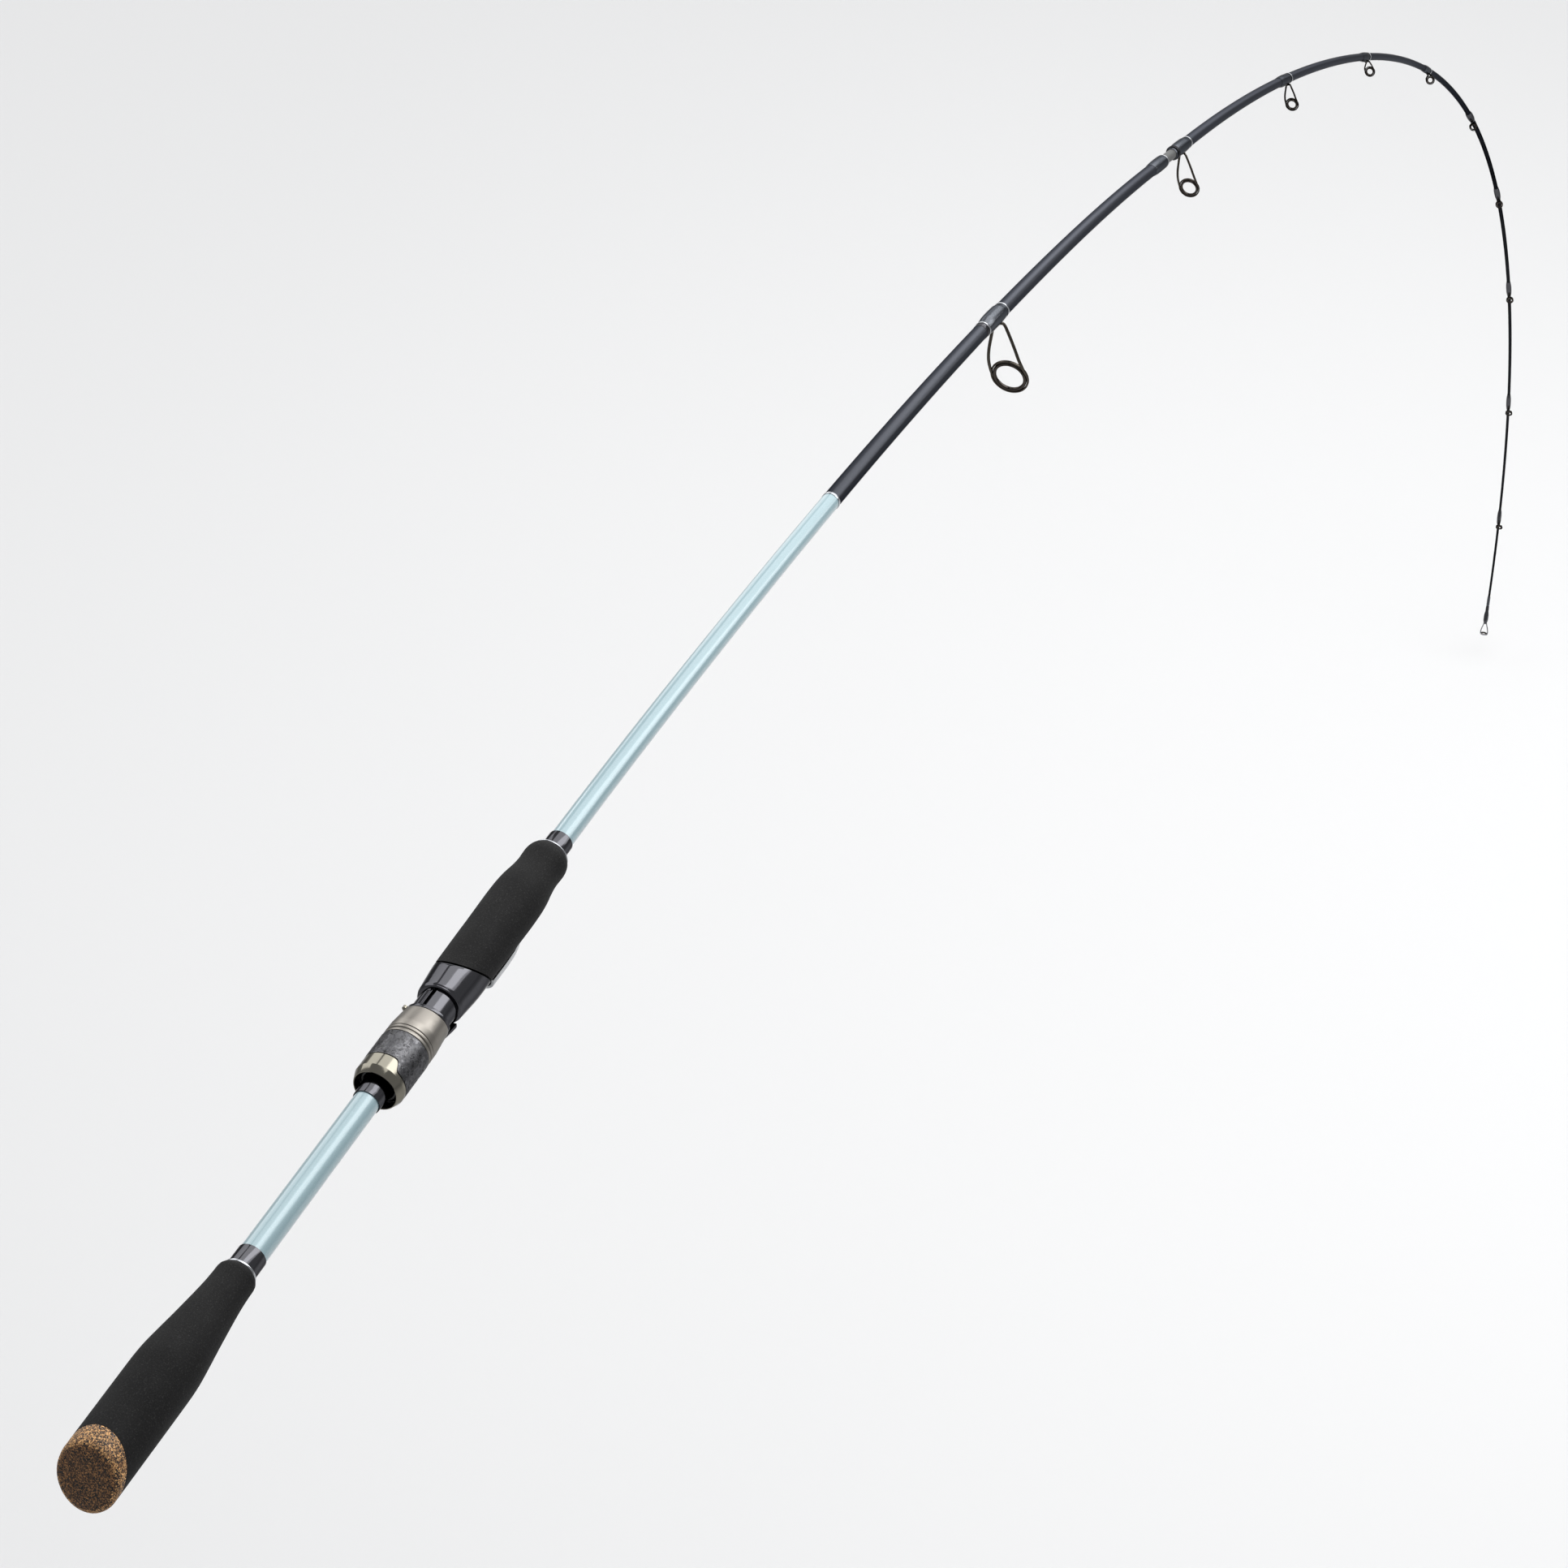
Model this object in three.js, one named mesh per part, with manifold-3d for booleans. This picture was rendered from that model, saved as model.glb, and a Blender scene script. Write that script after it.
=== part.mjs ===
// A two-piece spinning rod, drawn as it is held under load: a straight handle and a blank that bends
// down towards the tip. Everything is placed by its station, the distance along the rod's own axis
// from the butt. Millimetres, +X along the handle towards the tip, +Z up, guides and reel bed below.
// The origin is the middle of the flat bed that a reel foot sits on.
import * as THREE from 'three';
import Module from 'manifold-3d';
import { mergeVertices } from 'three/addons/utils/BufferGeometryUtils.js';

const wasm = await Module();
wasm.setup();

// ---------- Driving dimensions ----------
const ROD_LENGTH = 2300;
const BED_STATION = 317;          // middle of the reel bed
const BED_DROP = 9.7;             // from the rod's axis down to the bed
const GAP = 0.3;                  // assembly gap between touching pieces

// Curvature of the loaded blank in 1/m at stations along it. The ferrule stays straight.
const HANDLE_END = 440;
const FERRULE_STRAIGHT = [1158, 1224];
const BEND = [
  [410, 0.35], [600, 0.16], [800, 0.29], [1000, 0.33], [1150, 0.68], [1350, 0.73], [1500, 0.82],
  [1650, 1.32], [1800, 2.06], [1900, 2.63], [2000, 2.89], [2100, 2.69], [2200, 2.25], [2300, 1.75],
];

// Guides wind round the loaded blank a little towards the tip.
const TWIST_FROM = { station: 940, degrees: -8 };
const TWIST_TO = { station: 1935, degrees: -24 };

const BUTT_SECTION = { start: 4, end: 1181.5, wall: 1.1 };
const TIP_SECTION = { start: 1195.3, end: 2288, boreEnd: 1420 };
const SPIGOT = { start: 1128, end: 1221, radius: 2.9 };
const COLOUR_CHANGE = 722;

// The cap is a wedge: its ends are planes at station + slope * height over the rod's axis.
const CAP = { radius: 14.6, rounding: 3, length: 22 };
const CAP_REAR = { station: -4, slope: 0.38 };
const CAP_FRONT = { station: 3, slope: 0.66 };
const REAR_GRIP = { end: 120 };
const REAR_CHECK = { start: 120.3, end: 121.6, radius: 7.5 };
const REAR_BAND = { start: 121.9, end: 131.6, radius: 6.7 };

const BARREL = { start: 244, rim: 298, radius: 9.2 };
const THREAD = { start: 246, end: 282, pitch: 3, depth: 0.35 };
const SLEEVE = { end: 366, radius: 9.5 };
const SEAT_BORE = 7.7;
const KEY_SLOT = { start: 286, end: 298.5, width: 2.6, depth: 1.2 };
const FORE_GRIP = { start: 306, end: 409 };
const FORE_CUT = { station: 324, slope: -0.75 };   // the grip's slanted rear face
const BED = { start: 298, end: 346, halfWidth: 7.0 };

const ARBOR_REAR = { start: 232.5, end: 260, neck: 6.5, radius: 7.4 };
const ARBOR_FRONT = { start: 340, end: 365 };

const NUT_CORE = { start: 247.5, end: 272, bore: 9.5, radius: 10.6 };
const END_RING = { start: 240.5, step: 5.5, short: 246.2, bore: 10.1, radius: 12.0 };
const NUT_SLEEVE = { end: 267.6, radius: 12.05 };
const GROOVE_RING = { start: 267.9, end: 271.8, radius: 11.9 };
const COLLAR = { start: 272.1, end: 289.8, bore: 9.5, rear: 11.85, front: 10.6 };
const HOOD_RING = { start: 290.1, end: 291.9, radius: 10.3 };
const MOVING_HOOD = { tail: 282.5, end: 301.5, halfWidth: 8.6, bottom: -15.3 };
const FIXED_HOOD = { start: 333, end: 372, halfWidth: 8.9, bottom: -16.6 };
const POCKET = { halfWidth: 7.6, floor: -14.9, depth: 14 };
const HOOD_TOP = -10;

const FORE_CHECK = { start: 409.3, end: 410.3, radius: 8.9 };
const FORE_BAND = { start: 410.6, end: 420.6, radius: 6.1 };
const FERRULE_WRAP = { start: 1162, end: 1179.9, radius: 4.5 };

// One row per guide: the ring's station, the depth of its centre below the blank's axis, the
// frame ring's outer diameter, the wire, and the wrap that binds the foot.
const GUIDES = [
  { station: 941, height: 37.5, ring: 21.6, wire: 1.5, wrap: [918.5, 942], legs: 937, foot: 0.8 },
  { station: 1212.8, height: 25.0, ring: 12.4, wire: 1.1, wrap: [1196.6, 1218.3], legs: 1211.5, foot: 0.6 },
  { station: 1394.5, height: 16, ring: 8.4, wire: 0.95, wrap: [1376, 1394.5], legs: 1390, foot: 0.5 },
  { station: 1551.5, height: 9.4, ring: 6.8, wire: 0.8, wrap: [1536.5, 1550.5], legs: 1547, foot: 0.45 },
  { station: 1693, height: 6.0, ring: 6.0, wire: 0.75, wrap: [1678, 1692], legs: 1689, foot: 0.4 },
  { station: 1819.5, height: 4.8, ring: 5.5, wire: 0.7, wrap: [1804.5, 1818.5], legs: 1815, foot: 0.4 },
  { station: 1931.5, height: 4.7, ring: 5.3, wire: 0.65, wrap: [1917.5, 1930.5], legs: 1927.5, foot: 0.4 },
  { station: 2030, height: 4.7, ring: 5.2, wire: 0.65, wrap: [2016.5, 2029], legs: 2026, foot: 0.4 },
  { station: 2127, height: 4.6, ring: 5.1, wire: 0.6, wrap: [2114, 2126], legs: 2123, foot: 0.4 },
  { station: 2216.5, height: 4.6, ring: 5.0, wire: 0.6, wrap: [2204.5, 2215.5], legs: 2212.5, foot: 0.4 },
];
const RING_TILT = THREE.MathUtils.degToRad(15);      // the ring's lower edge leans to the tip
const TIP_TOP = {
  start: 2277, tubeEnd: 2290.6, tube: 1.7, ring: 5.8, wire: 0.8, station: 2297.6, drop: 1.2,
};
const TIP_WRAP = { start: 2270, end: 2276.7 };
const SMALL_GAP = 0.2;

const SIDES = { handle: 20, butt: 12, tip: 8 };
const LONG_STEP = 60;             // longest stretch without a section, on the nearly straight blank
const SHORT_STEP = 24;            // and on the tightly bent tip
const TIGHT_FROM = 1250;

const buttRadius = (s) => 6.35 - 0.00247 * (s - 100);
const tipRadius = (s) => 0.65 + 3.05 * (Math.max(TIP_SECTION.end - s, 0) / 1098) ** 1.2;

// ---------- The rod's axis ----------
function curvature(s) {
  const ferrule = s > FERRULE_STRAIGHT[0] && s < FERRULE_STRAIGHT[1];
  if (s < HANDLE_END - 30 || ferrule) return 0;
  const i = BEND.findIndex(([station], k) => k > 0 && s <= station);
  const [[s0, k0], [s1, k1]] = [BEND[i - 1], BEND[i]];
  return (k0 + ((k1 - k0) * (s - s0)) / (s1 - s0)) / 1000;
}

const axis = [{ x: -BED_STATION, z: BED_DROP, angle: 0 }];
for (let s = 1; s <= ROD_LENGTH; s += 1) {
  const last = axis[s - 1];
  const angle = last.angle + curvature(s - 0.5);
  const middle = (angle + last.angle) / 2;
  axis.push({ x: last.x + Math.cos(middle), z: last.z - Math.sin(middle), angle });
}

// The frame at a station: along is the tangent, up points away from the guides, side is +Y.
function frameAt(s, twistDegrees = 0) {
  const i = THREE.MathUtils.clamp(Math.floor(s), 0, ROD_LENGTH - 1);
  const t = s - i;
  const lerp = (key) => axis[i][key] + t * (axis[i + 1][key] - axis[i][key]);
  const angle = lerp('angle');
  const along = new THREE.Vector3(Math.cos(angle), 0, -Math.sin(angle));
  const twist = THREE.MathUtils.degToRad(twistDegrees);
  const straightUp = new THREE.Vector3(Math.sin(angle), 0, Math.cos(angle));
  const straightSide = new THREE.Vector3(0, 1, 0);
  const up = straightUp.clone().multiplyScalar(Math.cos(twist)).addScaledVector(straightSide, -Math.sin(twist));
  const side = new THREE.Vector3().crossVectors(up, along);
  return { origin: new THREE.Vector3(lerp('x'), 0, lerp('z')), along, up, side };
}

function twistAt(s) {
  const t = (s - TWIST_FROM.station) / (TWIST_TO.station - TWIST_FROM.station);
  const clamped = THREE.MathUtils.clamp(t, 0, 1);
  return THREE.MathUtils.lerp(TWIST_FROM.degrees, TWIST_TO.degrees, clamped);
}

// ---------- Geometry helpers ----------
function signedVolume(geometry) {
  const p = geometry.attributes.position;
  const index = geometry.index;
  const [a, b, c] = [new THREE.Vector3(), new THREE.Vector3(), new THREE.Vector3()];
  let volume = 0;
  for (let i = 0; i < index.count; i += 3) {
    a.fromBufferAttribute(p, index.getX(i));
    b.fromBufferAttribute(p, index.getX(i + 1));
    c.fromBufferAttribute(p, index.getX(i + 2));
    volume += a.dot(b.cross(c)) / 6;
  }
  return volume;
}

// Merge shared vertices, drop slivers and face the surface outwards.
function closed(geometry) {
  const bare = geometry.clone();
  bare.deleteAttribute('normal');
  bare.deleteAttribute('uv');
  const merged = mergeVertices(bare, 1e-4);
  const kept = [];
  for (let i = 0; i < merged.index.count; i += 3) {
    const [a, b, c] = [0, 1, 2].map((k) => merged.index.getX(i + k));
    if (a !== b && b !== c && c !== a) kept.push(a, b, c);
  }
  merged.setIndex(kept);
  if (signedVolume(merged) < 0) {
    for (let i = 0; i < kept.length; i += 3) [kept[i], kept[i + 1]] = [kept[i + 1], kept[i]];
    merged.setIndex(kept);
  }
  return merged;
}

function solid(geometry) {
  const g = closed(geometry);
  const vertProperties = new Float32Array(g.attributes.position.array);
  const triVerts = new Uint32Array(g.index.array);
  return new wasm.Manifold(new wasm.Mesh({ numProp: 3, vertProperties, triVerts }));
}

function surface(manifold) {
  const mesh = manifold.getMesh();
  const geometry = new THREE.BufferGeometry();
  geometry.setAttribute('position', new THREE.BufferAttribute(new Float32Array(mesh.vertProperties), 3));
  geometry.setIndex([...mesh.triVerts]);
  return geometry;
}

const join = (first, ...rest) => surface(rest.reduce((a, b) => a.add(solid(b)), solid(first)));
const cut = (first, ...rest) => surface(rest.reduce((a, b) => a.subtract(solid(b)), solid(first)));
const keep = (first, second) => surface(solid(first).intersect(solid(second)));

// Add stations to a profile of [station, radius] points so that it can follow the bend.
function withStations(profile) {
  const out = [];
  profile.forEach(([s1, r1], i) => {
    const [s0, r0] = profile[(i + profile.length - 1) % profile.length];
    const step = Math.max(s0, s1) > TIGHT_FROM ? SHORT_STEP : LONG_STEP;
    const bent = Math.max(s0, s1) > HANDLE_END;
    const count = bent && i > 0 ? Math.ceil(Math.abs(s1 - s0) / step) : 1;
    for (let k = 1; k < count; k += 1) {
      const t = k / count;
      out.push([s0 + (s1 - s0) * t, r0 + (r1 - r0) * t]);
    }
    out.push([s1, r1]);
  });
  return out;
}

// A turned piece on the rod's axis. The profile starts and ends on the axis or closes on itself.
function turned(profile, sides) {
  const points = withStations(profile).map(([s, r]) => new THREE.Vector2(r, s));
  const geometry = new THREE.LatheGeometry(points, sides);
  const p = geometry.attributes.position;
  for (let i = 0; i < p.count; i += 1) {
    const f = frameAt(p.getY(i));
    const v = f.origin.clone().addScaledVector(f.side, p.getX(i)).addScaledVector(f.up, p.getZ(i));
    p.setXYZ(i, v.x, v.y, v.z);
  }
  return closed(geometry);
}

// A tube between two profiles that run from the rear to the front: outer and inner [station, radius].
function sleeve(outer, inner, sides) {
  return turned([...outer, ...[...inner].reverse(), outer[0]], sides);
}

function ring(start, end, bore, radius, sides = SIDES.handle) {
  return sleeve([[start, radius], [end, radius]], [[start, bore], [end, bore]], sides);
}

function rod(profile, sides) {
  const first = [profile[0][0], 0];
  const last = [profile[profile.length - 1][0], 0];
  return turned([first, ...profile, last], sides);
}

// A box between two stations of the straight handle; y and z are measured from the rod's axis.
function block(s0, s1, y0, y1, z0, z1) {
  const g = new THREE.BoxGeometry(s1 - s0, y1 - y0, z1 - z0);
  return g.translate((s0 + s1) / 2 - BED_STATION, (y0 + y1) / 2, (z0 + z1) / 2 + BED_DROP);
}

// A closed skin through loops that all have the same number of points.
function loft(loops) {
  const n = loops[0].length;
  const points = loops.flat();
  const index = [];
  for (let k = 0; k + 1 < loops.length; k += 1) {
    for (let i = 0; i < n; i += 1) {
      const [a, b] = [k * n + i, k * n + ((i + 1) % n)];
      index.push(a, b, b + n, a, b + n, a + n);
    }
  }
  const lastStart = (loops.length - 1) * n;
  for (let i = 1; i + 1 < n; i += 1) {
    index.push(0, i + 1, i);
    index.push(lastStart, lastStart + i, lastStart + i + 1);
  }
  const geometry = new THREE.BufferGeometry().setFromPoints(points);
  geometry.setIndex(index);
  return closed(geometry);
}

// Half of a rounded hood's outline: flat on top at HOOD_TOP, round below.
function hoodLoop(s, halfWidth, bottom) {
  const loop = [];
  const depth = HOOD_TOP - bottom;
  for (let i = 0; i <= 10; i += 1) {
    const a = Math.PI * (i / 10);
    const flat = Math.sign(Math.cos(a)) * Math.abs(Math.cos(a)) ** 0.6;
    const drop = HOOD_TOP - depth * Math.sin(a) ** 0.7;
    loop.push(new THREE.Vector3(s - BED_STATION, -halfWidth * flat, drop + BED_DROP));
  }
  return loop;
}

// A round wire along points; its section has twice halfSides corners.
function wire(points, diameter, halfSides, steps) {
  const path = new THREE.CatmullRomCurve3(points, false, 'centripetal');
  const section = new THREE.Shape();
  section.absarc(0, 0, diameter / 2, 0, Math.PI * 2);
  return new THREE.ExtrudeGeometry(section, {
    steps, bevelEnabled: false, extrudePath: path, curveSegments: halfSides,
  });
}

// A ring turned about its own centre, with a closed [radius, along] section.
function hoop(section, sides) {
  const points = [...section, section[0]].map(([r, a]) => new THREE.Vector2(r, a));
  return new THREE.LatheGeometry(points, sides);
}

// ---------- Handle ----------
const rearGripOuter = [
  [-CAP.length, CAP.radius], [57, 14.6], [66, 14.0], [76, 12.9], [86, 11.7], [96, 10.6], [103, 9.9],
  [110, 9.35], [117.5, 9.15], [119, 8.8], [REAR_GRIP.end, 7.6],
];
const foreGripOuter = [
  [FORE_GRIP.start, 12.0], [318, 12.2], [337, 12.4], [364, 12.65], [377, 12.5], [384, 12.0], [394, 10.7],
  [398, 10.5], [403, 10.65], [406, 10.3], [408, 9.5], [FORE_GRIP.end, 8.6],
];
const boreOver = (s) => buttRadius(s) + GAP;

// Everything behind a slanted plane across the straight handle.
function behindPlane({ station, slope }, shift = 0) {
  const length = 200;
  const box = new THREE.BoxGeometry(length, 80, length);
  box.translate(-length / 2, 0, 0);
  box.rotateY(Math.atan(slope));
  return box.translate(station + shift - BED_STATION, 0, BED_DROP);
}

// The cap's rounded body: loops on planes that turn from the rear plane towards the front one.
function buttCap() {
  const { radius, rounding } = CAP;
  const loop = (inset, forward) => Array.from({ length: SIDES.handle }, (_, i) => {
    const a = (i / SIDES.handle) * 2 * Math.PI;
    const [y, z] = [Math.cos(a) * (radius - inset), Math.sin(a) * (radius - inset)];
    const s = CAP_REAR.station + CAP_REAR.slope * z + forward;
    return new THREE.Vector3(s - BED_STATION, y, z + BED_DROP);
  });
  const body = loft([loop(rounding, 0), loop(rounding * 0.3, rounding * 0.3), loop(0, rounding), loop(0, 25)]);
  const hollow = boreOver(0) + 0.1;
  const bore = rod([[BUTT_SECTION.start - GAP, hollow], [40, hollow]], SIDES.handle);
  return cut(keep(body, behindPlane(CAP_FRONT)), bore);
}

function rearGrip() {
  const bore = [[-CAP.length, boreOver(0)], [REAR_GRIP.end, boreOver(100)]];
  return cut(sleeve(rearGripOuter, bore, SIDES.handle), behindPlane(CAP_FRONT, GAP * 1.3));
}

function seatBody() {
  const thread = [];
  const { pitch, depth } = THREAD;
  for (let s = THREAD.start; s < THREAD.end; s += pitch * 2) {
    thread.push([s, BARREL.radius - depth], [s + pitch, BARREL.radius]);
  }
  const tube = sleeve(
    [
      [BARREL.start, BARREL.radius - depth], ...thread, [THREAD.end + pitch, BARREL.radius],
      [BARREL.rim + 2, BARREL.radius], [BARREL.rim + 2, SLEEVE.radius], [SLEEVE.end, SLEEVE.radius],
    ],
    [[BARREL.start, SEAT_BORE], [SLEEVE.end, SEAT_BORE]],
    SIDES.handle,
  );
  const flare = sleeve(
    [[BARREL.rim, 10.4], [BARREL.rim + 1.4, 10.6], [306, 11.4], [314, 12.1], [322, 12.2], [345, 12.2]],
    [[BARREL.rim, SEAT_BORE + 0.5], [345, SEAT_BORE + 0.5]],
    SIDES.handle,
  );
  const flareInFront = keep(flare, behindPlane(FORE_CUT, -GAP));
  const bed = block(BED.start + 2, BED.end, -BED.halfWidth, BED.halfWidth, -BED_DROP - 1, -SEAT_BORE - 0.6);
  const joined = join(tube, flareInFront, bed);
  const below = block(BED.start - 1, BED.end + 8, -20, 20, -30, -BED_DROP);
  const half = KEY_SLOT.width / 2;
  const slot = block(KEY_SLOT.start, KEY_SLOT.end, -half, half, BARREL.radius - KEY_SLOT.depth, 20);
  return cut(joined, below, slot);
}

function foreGrip(hoodEnvelope) {
  const bore = sleeve(foreGripOuter, [[FORE_GRIP.start, 6.2], [FORE_GRIP.end, 6.2]], SIDES.handle);
  const clear = SLEEVE.radius + GAP;
  const room = rod([[FORE_GRIP.start - 5, clear], [SLEEVE.end + GAP, clear]], SIDES.handle);
  const halfBed = BED.halfWidth + GAP;
  const bedRoom = block(BED.start, BED.end + GAP, -halfBed, halfBed, -20, 0);
  return cut(bore, room, behindPlane(FORE_CUT), hoodEnvelope, bedRoom);
}

function hoodShell({ start, end, halfWidth, bottom }, grow = 0) {
  const middle = start + 16;
  const loops = [
    hoodLoop(start - grow, halfWidth + grow, bottom - grow),
    hoodLoop(middle, halfWidth - 0.3 + grow, bottom + 0.5 - grow),
    hoodLoop(end - 8, halfWidth - 2.2 + grow, bottom + 2.2 - grow),
    hoodLoop(end + grow, halfWidth - 5.5 + grow, bottom + 4.6 - grow),
  ];
  return loft(loops);
}

function fixedHood() {
  const { start } = FIXED_HOOD;
  const { halfWidth, floor, depth } = POCKET;
  const pocket = block(start - 5, start + depth, -halfWidth, halfWidth, floor, 0);
  return cut(hoodShell(FIXED_HOOD), pocket);
}

function movingHood() {
  const { tail, end, halfWidth, bottom } = MOVING_HOOD;
  const shell = loft([
    hoodLoop(tail, halfWidth - 5.5, bottom + 3),
    hoodLoop(tail + 5, halfWidth - 2, bottom + 1.9),
    hoodLoop(tail + 10, halfWidth - 0.4, bottom + 0.7),
    hoodLoop(end, halfWidth, bottom),
  ]);
  const band = ring(HOOD_RING.start, HOOD_RING.end, COLLAR.bore, HOOD_RING.radius);
  const wall = block(HOOD_RING.start, HOOD_RING.end, -halfWidth + 1, halfWidth - 1, -12, -6);
  const whole = join(band, wall, shell);
  const barrel = rod([[tail - 5, COLLAR.bore], [HOOD_RING.end + 0.2, COLLAR.bore]], SIDES.handle);
  const collar = rod([[tail - 5, COLLAR.rear + GAP], [HOOD_RING.start, COLLAR.front + GAP + 0.1]], SIDES.handle);
  const pocket = block(HOOD_RING.end, end + 5, -POCKET.halfWidth, POCKET.halfWidth, POCKET.floor + 0.6, 0);
  return cut(whole, barrel, collar, pocket);
}

function hoodCollar() {
  const body = sleeve(
    [
      [COLLAR.start, COLLAR.rear - 0.4], [COLLAR.start + 0.8, COLLAR.rear],
      [COLLAR.end - 0.6, COLLAR.front], [COLLAR.end, COLLAR.front - 0.4],
    ],
    [[COLLAR.start, COLLAR.bore], [COLLAR.end, COLLAR.bore]],
    SIDES.handle,
  );
  const tab = new THREE.BoxGeometry(2.2, 1.6, 1.8);
  tab.translate(COLLAR.end - 1.4 - BED_STATION, 0, COLLAR.front + 0.2);
  tab.rotateX(-Math.PI * 0.3);
  return join(body, tab.translate(0, 0, BED_DROP));
}

function nutCore() {
  const { start, end, bore, radius } = NUT_CORE;
  return ring(start, end, bore, radius);
}

function endRing() {
  const { start, step, short, bore, radius } = END_RING;
  const front = short + step;
  const body = sleeve(
    [[start, bore + 0.7], [start + 2, radius - 0.3], [start + 3, radius], [front, radius]],
    [[start, bore], [front, bore]],
    SIDES.handle,
  );
  const coreRoom = rod([[start + 6, NUT_CORE.radius + GAP], [front + 1, NUT_CORE.radius + GAP]], SIDES.handle);
  const lowHalf = block(short, front + 1, -20, 20, -20, 0);
  return cut(body, coreRoom, lowHalf);
}

function nutSleeve() {
  const { end, radius } = NUT_SLEEVE;
  const from = END_RING.short + GAP;
  const body = sleeve(
    [[from, radius], [end - 0.5, radius], [end, radius - 0.4]],
    [[from, NUT_CORE.radius + GAP], [end, NUT_CORE.radius + GAP]],
    SIDES.handle,
  );
  const highHalf = block(from - 1, from + END_RING.step, -20, 20, -GAP, 20);
  return cut(body, highHalf);
}

function grooveRing() {
  const { start, end, radius } = GROOVE_RING;
  const middle = (start + end) / 2;
  return sleeve(
    [[start, radius], [middle - 0.5, radius], [middle, radius - 0.5], [middle + 0.5, radius], [end, radius]],
    [[start, NUT_CORE.radius + GAP], [end, NUT_CORE.radius + GAP]],
    SIDES.handle,
  );
}

function rearArbor() {
  const { start, end, neck, radius } = ARBOR_REAR;
  return sleeve(
    [[start, neck + 0.2], [start + 8, radius - 0.3], [BARREL.start + 1, radius], [end, radius]],
    [[start, boreOver(start) - 0.1], [end, boreOver(start) - 0.1]],
    SIDES.handle,
  );
}

function frontArbor() {
  const { start, end } = ARBOR_FRONT;
  return ring(start, end, boreOver(start), SEAT_BORE - GAP);
}

// ---------- Blank ----------
function buttBlank() {
  const { start, end, wall } = BUTT_SECTION;
  const outer = [[start, buttRadius(start)], [end, buttRadius(end)]];
  const inner = [[start, buttRadius(start) - wall], [SPIGOT.start, SPIGOT.radius + GAP], [end, SPIGOT.radius + GAP]];
  return sleeve(outer, inner, SIDES.butt);
}

function tipBlank() {
  const { start, end, boreEnd } = TIP_SECTION;
  const socket = SPIGOT.radius + GAP;
  const bore = [[boreEnd, 0], [boreEnd, 1.2], [1240, socket - 0.4], [SPIGOT.end + 3, socket], [start, socket]];
  const outer = [start, 1300, 1400, 1600, 1800, 2000, 2150, end].map((s) => [s, tipRadius(s)]);
  return turned([...bore, ...outer, [end, 0]], SIDES.tip);
}

function spigot() {
  const { start, end, radius } = SPIGOT;
  return rod([[start, radius], [end - 1.5, radius], [end, radius - 0.7]], SIDES.tip);
}

// ---------- Guides ----------
// A guide is drawn about its ring's station: x along the rod, y across it, z up from the axis.
function placed(geometry, station) {
  const f = frameAt(station, twistAt(station));
  const basis = new THREE.Matrix4().makeBasis(f.along, f.side, f.up).setPosition(f.origin);
  return geometry.applyMatrix4(basis);
}

function ringPlace(geometry, height) {
  geometry.rotateZ(-Math.PI / 2);
  geometry.rotateY(-RING_TILT);
  return geometry.translate(0, 0, -height);
}

const onButt = (s) => s < BUTT_SECTION.end;
const blankRadius = (s) => (onButt(s) ? buttRadius(s) : tipRadius(s));
const blankSides = (s) => (onButt(s) ? SIDES.butt : SIDES.tip);   // so that a piece fits the faceted blank

const topOf = (guide) => -(blankRadius(guide.wrap[0]) + SMALL_GAP);   // the foot's upper face
const footWidth = (guide) => guide.foot * 2.4 + guide.wire;

function guideFoot(guide, grow, front) {
  const { station, wrap, foot } = guide;
  const [rear, height] = [wrap[0] + 3 - station, foot + grow * 2];
  const plate = new THREE.BoxGeometry(front - rear + grow, footWidth(guide) + grow * 2, height);
  return plate.translate((front + rear - grow) / 2, 0, topOf(guide) - foot / 2);
}

function guideLegs(guide) {
  const { station, height, ring: diameter, wire: gauge, legs, foot } = guide;
  const gap = topOf(guide) - foot / 2;
  const from = legs - station;
  const rho = (diameter - gauge) / 2;
  const [halfSides, steps] = diameter > 10 ? [3, 5] : [2, 3];
  const tilt = (x, z) => [x - z * Math.sin(RING_TILT), -height + z * Math.cos(RING_TILT)];
  return [1, -1].map((hand) => {
    const [endX, endZ] = tilt(0, rho * 0.45);
    const start = new THREE.Vector3(from - gauge * 1.5, hand * foot * 0.8, gap);
    const bend = new THREE.Vector3(from, hand * rho * 0.34, gap - foot * 0.8);
    const end = new THREE.Vector3(endX, hand * rho * 0.89, endZ);
    const near = end.clone().lerp(bend, 0.45);
    near.x = Math.min(near.x, from);
    return wire([start, bend, near, end], gauge * 0.8, halfSides, steps);
  });
}

function guideFrame(guide) {
  const { station, height, ring: diameter, wire: gauge, legs } = guide;
  const outer = diameter / 2;
  const [half, inner] = [gauge * 0.55, outer - gauge * 0.75];
  const section = [[outer, 0], [outer - gauge * 0.25, half], [inner, half], [inner, -half], [outer - gauge * 0.25, -half]];
  const loop = ringPlace(hoop(section, diameter > 10 ? 20 : 12), height);
  const foot = guideFoot(guide, 0, legs - station);
  return placed(join(loop, foot, ...guideLegs(guide)), station);
}

function guideRing(guide) {
  const { station, height, ring: diameter, wire: gauge } = guide;
  const outer = diameter / 2 - gauge * 0.75 - SMALL_GAP;
  const thick = gauge * 0.85;
  const half = gauge * 0.8;
  const section = [[outer, -half], [outer, half], [outer - thick * 0.6, half], [outer - thick, 0], [outer - thick * 0.6, -half]];
  return placed(ringPlace(hoop(section, diameter > 10 ? 20 : 12), height), station);
}

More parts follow.
